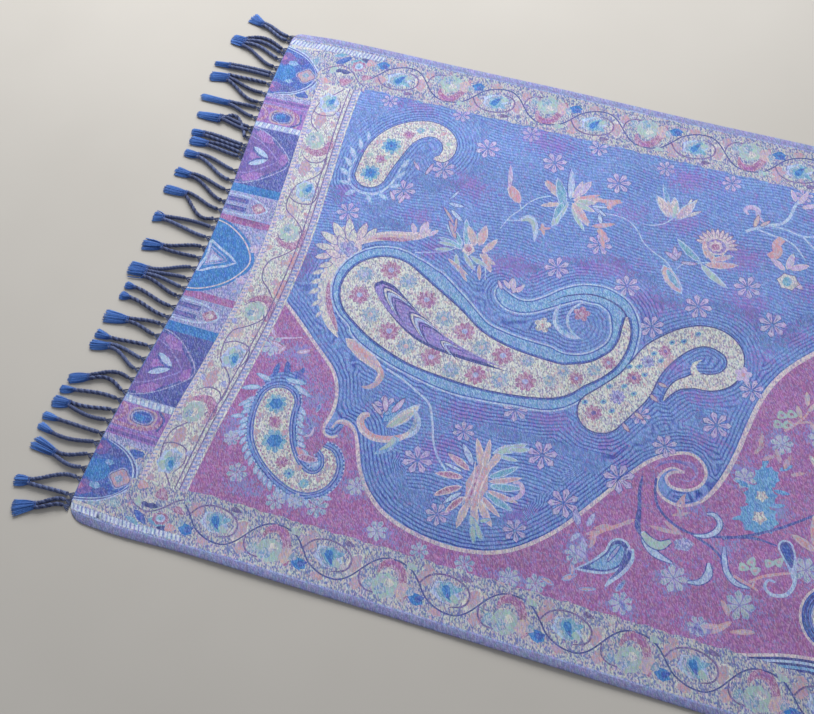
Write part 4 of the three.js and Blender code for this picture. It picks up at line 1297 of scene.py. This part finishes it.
# the echo lines run beside the great outlines, at their distance from them in millimetres as far as
# ECHO_REACH, and along the shawl beyond that
ECHO_REACH = 34
outlines = []
for path, reach in ((SPINE, REACH), (SECOND, SECOND_REACH), (SMALL, SMALL_REACH), (LOWER, LOWER_REACH),
                    (CENTRE, CENTRE_REACH)):
    left, right = sides_of(curve(with_halves(path, reach), 10))
    outlines += left + right + round_end(path[0], path[1], reach[0], 20)
for path in (OGEE_LEFT, OGEE_ARC, OGEE_RISE):
    outlines += curve(path, 14)
outlines += half_turn(outlines)
nearest = KDTree(len(outlines))
for k, (u, v) in enumerate(outlines):
    nearest.insert((u, v, 0), k)
nearest.balance()
face_u, face_v = flat[:len(top_flat)].T
away = np.array([nearest.find((u, v, 0))[2] for u, v in flat[:len(top_flat)]])
along = face_v + 2.5 * np.sin(face_u / 15) + 200
echo = np.zeros(len(flat))
echo[:len(top_flat)] = np.where(away < ECHO_REACH, away, along)
# they are plainest near the outlines and below the great paisley
near = np.ones(len(flat))
lower = np.where(face_u < LONG / 2, 1, -1) * face_v
near[:len(top_flat)] = np.clip(1.15 - away / 70, 0.78, 1) * (0.9 - 0.14 * np.tanh((lower + 90) / 50))
store(cloth_mesh, "lines", np.array([ECHOED.get(name, 0.0) for name in names])[face_mix] * near[faces[:, 0]])
# how near each place is to the middle of a cloud
haze = np.zeros(len(flat))
for u, v, long, wide, turn in CLOUDS + [(LONG - u, -v, *rest) for u, v, *rest in CLOUDS]:
    c, s = math.cos(math.radians(turn)), math.sin(math.radians(turn))
    du, dv = flat[:, 0] - u, flat[:, 1] - v
    off = ((du * c + dv * s) / long) ** 2 + ((dv * c - du * s) / wide) ** 2
    haze = np.maximum(haze, 0.95 * np.exp(-0.8 * off))
store(cloth_mesh, "echo", echo, "POINT")
store(cloth_mesh, "haze", haze, "POINT")

# an even map for the finish: the two halves of the face side by side and the reverse above them
SHEET = 1430.0
STRIP = 716.0
MARGIN = 6
UNDER_SCALE = 0.7
UNDER_RIGHT = 10
UNDER_UP = 1170
places = flat.copy()
for k, ring in enumerate(down[1:]):
    places[ring] -= edge_in * 1.5 * (k + 1)
corner_uv = places[faces.ravel()]
far_half = np.repeat(places[faces].mean(axis=1)[:, 0] > LONG / 2, 3)
back = np.repeat(is_reverse, 3)
u, v = corner_uv[:, 0], corner_uv[:, 1]
map_x = np.where(far_half, v + STRIP / 2 + STRIP, v + STRIP / 2)
map_y = np.where(far_half, u - LONG / 2, u) + MARGIN
map_x = np.where(back, u * UNDER_SCALE + UNDER_RIGHT, map_x)
map_y = np.where(back, v * UNDER_SCALE + UNDER_UP, map_y)
layer = cloth_mesh.uv_layers.new(name="OFBake")
layer.data.foreach_set("uv", (np.column_stack([map_x, map_y]) / SHEET).ravel())
cloth_mesh.update()
cloth = set_out("cloth_panel", cloth_mesh)


# The cloth's finish: wool floats at the slant of the twill as flecks of two yarns, dark echo lines
# woven into the blue, soft clouds of a third colour, and a brushed surface over face and reverse.
SLANT = 27
FLOAT_WIDE = 0.00088
FLOAT_LONG = 0.0021
ECHO_PITCH = 4.0
ECHO_INK = "#374ba2"


def nodes_of(name):
    """A new material and its empty node tree."""
    material = bpy.data.materials.new(name)
    material.use_nodes = True
    material.node_tree.nodes.clear()
    return material, material.node_tree


def node(tree, kind, inputs=(), **settings):
    """A shader node with its settings, and its inputs linked or set by name or place."""
    made = tree.nodes.new("ShaderNode" + kind)
    for key, value in settings.items():
        setattr(made, key, value)
    for key, value in dict(inputs).items():
        if isinstance(value, bpy.types.NodeSocket):
            tree.links.new(value, made.inputs[key])
        else:
            made.inputs[key].default_value = value
    return made


def sums(tree, operation, a, b, c=0.0, clamp=False):
    """The result of one sum on two or three values."""
    return node(tree, "Math", {0: a, 1: b, 2: c}, operation=operation, use_clamp=clamp).outputs[0]


def blend_of(tree, share, a, b, kind="MIX"):
    made = node(tree, "Mix", {0: share, 6: a, 7: b}, data_type="RGBA", blend_type=kind)
    return made.outputs[2]


def turned_to(tree, coordinates, slant, across, along):
    """Coordinates turned by slant degrees and counted in lengths of across and along metres."""
    return node(tree, "Mapping", {"Vector": coordinates, "Rotation": (0, 0, math.radians(slant)),
                                  "Scale": (across, along, 0.01)}, vector_type="TEXTURE").outputs[0]


def noise(tree, coordinates, slant, across, along, detail=1.0):
    made = node(tree, "TexNoise", {"Vector": turned_to(tree, coordinates, slant, across, along), "Scale": 1.0,
                                   "Detail": detail, "Roughness": 0.55}, noise_dimensions="2D")
    return made.outputs["Fac"]


def stored(tree, name, kind="Fac"):
    return node(tree, "Attribute", attribute_name=name).outputs[kind]


def cover(tree, inputs):
    """The surface of a material from the inputs of its shader."""
    skin = node(tree, "BsdfPrincipled", inputs)
    tree.links.new(skin.outputs[0], node(tree, "OutputMaterial").inputs[0])


def cloth_finish():
    material, tree = nodes_of("jacquard_twill")
    place = node(tree, "TexCoord").outputs["Object"]
    twill = turned_to(tree, place, SLANT, FLOAT_WIDE, FLOAT_LONG)
    floats = node(tree, "TexVoronoi", {"Vector": twill, "Scale": 1.0, "Randomness": 0.85},
                  voronoi_dimensions="2D", feature="F1")
    chances = node(tree, "SeparateColor", {0: floats.outputs["Color"]})
    pick, depth, cloudy = chances.outputs[0], chances.outputs[1], chances.outputs[2]
    share = stored(tree, "share")
    shown = sums(tree, "MULTIPLY_ADD", sums(tree, "SUBTRACT", share, pick), 3.0, 0.5, clamp=True)
    woven_colour = blend_of(tree, shown, stored(tree, "yarn_a", "Color"), stored(tree, "yarn_b", "Color"))
    # clouds of the third colour gather float by float
    patchy = sums(tree, "MULTIPLY_ADD", noise(tree, place, 0, 0.012, 0.006, 2.0), 1.3, -0.65)
    near = sums(tree, "SUBTRACT", sums(tree, "ADD", stored(tree, "haze"), patchy), cloudy)
    hazy = sums(tree, "MULTIPLY", sums(tree, "MULTIPLY_ADD", near, 3.0, 0.5, clamp=True), 0.85)
    clouded = blend_of(tree, hazy, woven_colour, stored(tree, "third", "Color"))
    # the echo lines, broken where floats cross them
    wobble = noise(tree, place, 0, 0.022, 0.022, 2.0)
    run = sums(tree, "MULTIPLY_ADD", wobble, 3.5, stored(tree, "echo"))
    wave = sums(tree, "SINE", sums(tree, "MULTIPLY", run, 2 * math.pi / ECHO_PITCH), 0.0)
    line = sums(tree, "MULTIPLY_ADD", wave, 0.8, 0.25, clamp=True)
    broken = sums(tree, "MULTIPLY_ADD", depth, -0.3, 1.0)
    patches = sums(tree, "MULTIPLY_ADD", noise(tree, place, 0, 0.05, 0.035, 1.0), 3.0, -0.95, clamp=True)
    strength = sums(tree, "MULTIPLY", stored(tree, "lines"), sums(tree, "MULTIPLY_ADD", patches, 0.45, 0.6))
    dark = sums(tree, "MULTIPLY", sums(tree, "MULTIPLY", line, broken), strength)
    lined = blend_of(tree, dark, clouded, (*linear(ECHO_INK), 1))
    # each float's own depth of dye, and a broad unevenness
    broad = noise(tree, place, 30, 0.14, 0.11, 3.0)
    shade = sums(tree, "MULTIPLY_ADD", depth, 0.30, sums(tree, "MULTIPLY_ADD", broad, 0.2, 0.75))
    grey = node(tree, "CombineColor", {0: shade, 1: shade, 2: shade}).outputs[0]
    toned = blend_of(tree, 1.0, lined, grey, "MULTIPLY")
    hues = node(tree, "TexVoronoi", {"Vector": turned_to(tree, place, SLANT, 0.0016, 0.0036), "Scale": 1.0},
                voronoi_dimensions="2D", feature="F1").outputs["Color"]
    speckled = blend_of(tree, 0.13, toned, hues, "OVERLAY")
    roundness = sums(tree, "MULTIPLY_ADD", floats.outputs["Distance"], -1.0,
                     sums(tree, "MULTIPLY", depth, 0.5))
    relief = sums(tree, "MULTIPLY_ADD", dark, -0.7, roundness)
    bump = node(tree, "Bump", {"Strength": 0.55, "Distance": 0.0005, "Height": relief})
    cover(tree, {"Base Color": speckled, "Roughness": 0.88, "Normal": bump.outputs[0],
                 "Specular IOR Level": 0.18, "Sheen Weight": 0.2, "Sheen Roughness": 0.45})
    return material


cloth_mesh.materials.append(cloth_finish())
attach(cloth, "root")
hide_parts("woven_panel")


# The fringe: warp ends drawn together just outside the hem, plied into cords, tied in twos, threes
# and fours, and left loose beyond the knot. Dyed navy wool, twisted and knotted by hand.
ROOT_OUT = 6.0
PLY = 0.8
PLY_RADIUS = 1.75
PLY_TURN = 7.0
PLY_SIDES = 6
CORD_Z = 2.8
NECK_GAP = 4.4
CORD_STEP = 1.05
WARP_ENDS = 7
WARP_PITCH = 1.3
WARP_RADIUS = 0.45
WARP_IN = 1.0
KNOT_TURNS = 2
KNOT_LONG = 4.0
KNOT_UP = 1.9
KNOT_RADIUS = 0.75
STRAND_RADIUS = 0.75
STRAND_Z = 0.75
# tip u and v, neck u and v, width of the tip, and each cord's v at the hem and sideways bow
TUFTS = [
    ((-69, 354), (-50, 346), 16, [(336, 0), (329, 0)]),
    ((-80, 313), (-62, 311), 14, [(314, 8), (308, 6), (297, 5), (283, 0)]),
    ((-86, 268), (-66, 269), 6, [(272, 1), (267, 1)]),
    ((-84, 247), (-60, 250), 14, [(255, 0), (239, -2), (224, -4)]),
    ((-82, 213), (-44, 212), 9, [(215, 0), (200, 0)]),
    ((-76, 185), (-46, 186), 8, [(184, 0), (179, -1), (168, 19)]),
    ((-72, 158), (-56, 158), 8, [(156, 1), (151, 0)]),
    ((-69, 145), (-46, 145), 12, [(144, 2), (138, 0)]),
    ((-68, 126), (-50, 125), 10, [(117, 2), (102, 0)]),
    ((-68, 97), (-48, 95), 12, [(87, 2), (71, 2)]),
    ((-71, 69), (-42, 68), 11, [(58, 0), (44, -9)]),
    ((-67, 28), (-54, 28), 15, [(32, 2), (17, 0)]),
    ((-64, -12), (-40, -10), 17, [(3, 0), (-12, -1)]),
    ((-66, -49), (-44, -48), 20, [(-27, -2), (-42, 0), (-55, 2), (-67, 1)]),
    ((-60, -70), (-48, -71), 9, [(-82, 0)]),
    ((-60, -84), (-48, -85), 10, [(-96, 0)]),
    ((-67, -115), (-38, -113), 16, [(-107, 1), (-122, 2)]),
    ((-66, -138), (-48, -140), 10, [(-137, 0)]),
    ((-66, -154), (-44, -150), 12, [(-154, 2), (-168, 3)]),
    ((-71, -201), (-50, -193), 11, [(-181, 6), (-197, 8)]),
    ((-74, -215), (-58, -212), 8, [(-208, 2)]),
    ((-76, -230), (-56, -229), 14, [(-222, -2), (-235, -3)]),
    ((-78, -249), (-60, -250), 8, [(-251, 0)]),
    ((-77, -261), (-60, -266), 8, [(-263, -3)]),
    ((-75, -281), (-46, -287), 15, [(-278, -3), (-294, -3)]),
    ((-74, -328), (-58, -325), 12, [(-306, 3), (-326, 0)]),
    ((-62, -358), (-40, -348), 18, [(-333, 2), (-339, 1)]),
]
rng = np.random.default_rng(7)


class Yarns:
    """Thin closed tubes that are gathered into one mesh, each with its own depth of dye, which in the loose
    ends also carries a painted shade.
    """

    def __init__(self):
        self.points, self.faces, self.dye_and_shade = [], [], []

    def tube(self, path, radii, sides, dye_and_shade):
        path = np.asarray(path, float)
        run = np.gradient(path, axis=0)
        run /= np.linalg.norm(run, axis=1)[:, None]
        aside = np.cross(run, (0, 0, 1.0))
        aside /= np.maximum(np.linalg.norm(aside, axis=1), 1e-9)[:, None]
        over = np.cross(aside, run)
        angles = 2 * math.pi * np.arange(sides) / sides
        radii = np.broadcast_to(radii, len(path))
        ring = aside[:, None] * np.cos(angles)[None, :, None] + over[:, None] * np.sin(angles)[None, :, None]
        spots = (path[:, None] + ring * radii[:, None, None]).reshape(-1, 3)
        first = sum(len(p) for p in self.points)
        faces = []
        for k in range(len(path) - 1):
            for c in range(sides):
                a, b = first + k * sides + c, first + k * sides + (c + 1) % sides
                faces.append((a, b, b + sides, a + sides))
        faces.append(tuple(first + c for c in range(sides - 1, -1, -1)))
        last = first + (len(path) - 1) * sides
        faces.append(tuple(last + c for c in range(sides)))
        self.points.append(spots)
        self.faces += faces
        tones = np.broadcast_to(dye_and_shade, len(path) - 1)
        self.dye_and_shade += [*np.repeat(tones, sides), tones[0], tones[-1]]

    def mesh(self, name, turned):
        spots = np.vstack(self.points) * MM
        if turned:
            spots[:, :2] *= -1
        made = bpy.data.meshes.new(name)
        made.from_pydata(spots.tolist(), [], self.faces)
        made.polygons.foreach_set("use_smooth", np.ones(len(self.faces), bool))
        store(made, "dye_and_shade", self.dye_and_shade)
        return made


def cord_line(root, bow, neck, steps):
    """Middle line of a cord, from just outside the hem to its knot."""
    start = -LONG / 2 + hem_bow(root) - ROOT_OUT
    end = -LONG / 2 + neck[0]
    t = np.linspace(0, 1, steps)
    y = root + (neck[1] - root) * smooth(t) + bow * np.sin(math.pi * t)
    return np.column_stack([start + (end - start) * t, y, np.full(steps, CORD_Z)])


def add_cord(yarns, root, bow, neck):
    length = math.hypot(neck[0] - hem_bow(root) + ROOT_OUT, neck[1] - root)
    steps = max(12, int(length / CORD_STEP))
    middle = cord_line(root, bow, neck, steps)
    run = np.gradient(middle, axis=0)
    run /= np.linalg.norm(run, axis=1)[:, None]
    aside = np.column_stack([-run[:, 1], run[:, 0], np.zeros(steps)])
    phase = 2 * math.pi * np.linspace(0, length / PLY_TURN, steps) + rng.uniform(0, 6)
    for half, dye_and_shade in ((0, 0.12), (math.pi, 0.22)):
        turn = phase + half
        spots = middle + PLY * (aside * np.cos(turn)[:, None] + np.array([0, 0, 1.0]) * np.sin(turn)[:, None])
        yarns.tube(spots, PLY_RADIUS + 0.1 * np.sin(phase * 0.7), PLY_SIDES, dye_and_shade + rng.uniform(-0.08, 0.08))
    # the warp ends that come out of the hem and are drawn into this cord
    for k in range(WARP_ENDS):
        spread_v = (k - WARP_ENDS // 2) * WARP_PITCH + rng.uniform(-0.5, 0.5)
        hem_u = -LONG / 2 + hem_bow(root + spread_v) + WARP_IN
        t = np.linspace(0, 1, 5)
        ends = np.column_stack([hem_u + (middle[1, 0] - hem_u) * t,
                                root + spread_v * (1 - smooth(t)),
                                STRAND_Z + (CORD_Z - STRAND_Z) * t * (1.3 - 0.3 * t)])
        yarns.tube(ends, WARP_RADIUS, 4, rng.uniform(0.0, 0.3))


def across_of(tip, neck):
    run = (np.array(tip, float) - neck) / np.linalg.norm(np.array(tip, float) - neck)
    return run, np.array([-run[1], run[0]])


def add_tuft(yarns, tip, neck, fan, count):
    """The loose ends beyond a knot: as wide as its cords there, and blunt where they were cut."""
    run, side = across_of(tip, neck)
    reach = np.linalg.norm(np.array(tip, float) - neck)
    base = np.array([-LONG / 2, 0.0]) + neck
    start = NECK_GAP * (count - 1) / 2 + 1.6
    # the knot: turns of yarn round the cords
    t = np.linspace(0, 1, 34)
    turn = t * 2 * KNOT_TURNS * math.pi
    ahead_of = KNOT_LONG * t - KNOT_LONG / 2
    spots = base + run * ahead_of[:, None] + side * ((start + 0.3) * np.cos(turn))[:, None]
    yarns.tube(np.column_stack([spots, CORD_Z + KNOT_UP * np.sin(turn)]), KNOT_RADIUS, 6, 0.62)
    for k in range(34 + 8 * count):
        off = rng.uniform(-1, 1)
        layer = rng.uniform(0, 1)
        length = reach * rng.uniform(0.9, 1.02) * (1 - 0.08 * off * off)
        t = np.linspace(0, 1, 6)
        wide = off * (start + (fan / 2 + 0.6 - start) * t ** 0.8) + rng.normal(0, 0.5) * np.sin(math.pi * t)
        spots = base + run * (length * t)[:, None] + side * wide[:, None]
        z = STRAND_Z + (0.4 + 4.2 * layer * (1 - 0.75 * off * off)) * (1 - 0.5 * t)
        # painted shade: the lower strands of a tuft are coloured darker and the upper ones lighter, as light
        # from above would show them
        dye_and_shade = 0.62 + 0.18 * t[:-1] + 0.12 * layer + rng.uniform(-0.1, 0.1)
        yarns.tube(np.column_stack([spots, z]), STRAND_RADIUS * (1 - 0.3 * t ** 4), 4, dye_and_shade)


def fringe_finish():
    material, tree = nodes_of("navy_yarn")
    place = node(tree, "TexCoord").outputs["Object"]
    dye_and_shade = stored(tree, "dye_and_shade")
    fibre = noise(tree, place, 20, 0.0011, 0.0007, 2.0)
    # up to 0.5 the slate of the cords, and beyond it the bright blue of the loose ends, painted darker in
    # their lower strands as shade
    depth = sums(tree, "MULTIPLY_ADD", sums(tree, "SUBTRACT", fibre, 0.5), 0.5, dye_and_shade)
    ramp = node(tree, "ValToRGB", {0: depth})
    stops = ramp.color_ramp.elements
    stops.new(0.46)
    stops.new(0.54)
    for stop, colour in zip(stops, ("#202850", "#7484b4", "#203f88", "#588cdc")):
        stop.color = (*linear(colour), 1)
    bump = node(tree, "Bump", {"Strength": 0.5, "Distance": 0.0003, "Height": fibre})
    cover(tree, {"Base Color": ramp.outputs[0], "Roughness": 0.75, "Normal": bump.outputs[0],
                 "Specular IOR Level": 0.25, "Sheen Weight": 0.35, "Sheen Roughness": 0.4})
    return material


knotted = Yarns()
for tip, neck, fan, cords in TUFTS:
    side = across_of(tip, neck)[1]
    for k, (root, bow) in enumerate(cords):
        # side points to smaller v, as the cords are listed
        beside = side * NECK_GAP * (k - (len(cords) - 1) / 2)
        add_cord(knotted, root, bow, np.array(neck) + beside)
    add_tuft(knotted, tip, neck, fan, len(cords))
yarn_finish = fringe_finish()
for name, node_name, turned_round in (("fringe_knotted_left", "fringe_left", False),
                                      ("fringe_knotted_right", "fringe_right", True)):
    piece_mesh = knotted.mesh(name, turned_round)
    piece_mesh.materials.append(yarn_finish)
    piece = set_out(name, piece_mesh)
    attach(piece, "root")
    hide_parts(node_name)


# The room: a plain pale floor under soft studio light, brightest from beyond the far selvedge.
FLOOR_HALF = 6.0
floor_mesh = bpy.data.meshes.new("floor")
floor_mesh.from_pydata([(a * FLOOR_HALF, b * FLOOR_HALF, 0) for a, b in ((-1, -1), (1, -1), (1, 1), (-1, 1))],
                       [], [(0, 1, 2, 3)])
floor = set_out("floor", floor_mesh)
pale, tree = nodes_of("pale_floor")
grain = noise(tree, node(tree, "TexCoord").outputs["Object"], 0, 0.3, 0.3, 3.0)
tone = blend_of(tree, grain, (0.50, 0.48, 0.45, 1), (0.56, 0.54, 0.51, 1))
cover(tree, {"Base Color": tone, "Roughness": 0.8, "Specular IOR Level": 0.2})
floor_mesh.materials.append(pale)


def soft_light(name, at, aim, size, power, colour):
    lamp = bpy.data.lights.new(name, "AREA")
    lamp.shape = "RECTANGLE"
    lamp.size, lamp.size_y = size
    lamp.energy = power
    lamp.color = colour
    made = set_out(name, lamp)
    made.location = at
    made.rotation_euler = (Vector(aim) - Vector(at)).to_track_quat("-Z", "Y").to_euler()


soft_light("window_light", (-1.2, 1.55, 1.1), (-0.5, 0.1, 0), (2.0, 1.2), 58, (1.0, 0.99, 0.97))
soft_light("room_light", (0.6, -1.8, 2.6), (-0.3, 0, 0), (3.0, 2.0), 10, (0.97, 0.98, 1.0))
world = bpy.data.worlds.new("studio")
world.use_nodes = True
world.node_tree.nodes["Background"].inputs["Color"].default_value = (0.95, 0.97, 1.0, 1)
world.node_tree.nodes["Background"].inputs["Strength"].default_value = 0.27
bpy.context.scene.world = world
bpy.context.scene.view_settings.view_transform = "Standard"
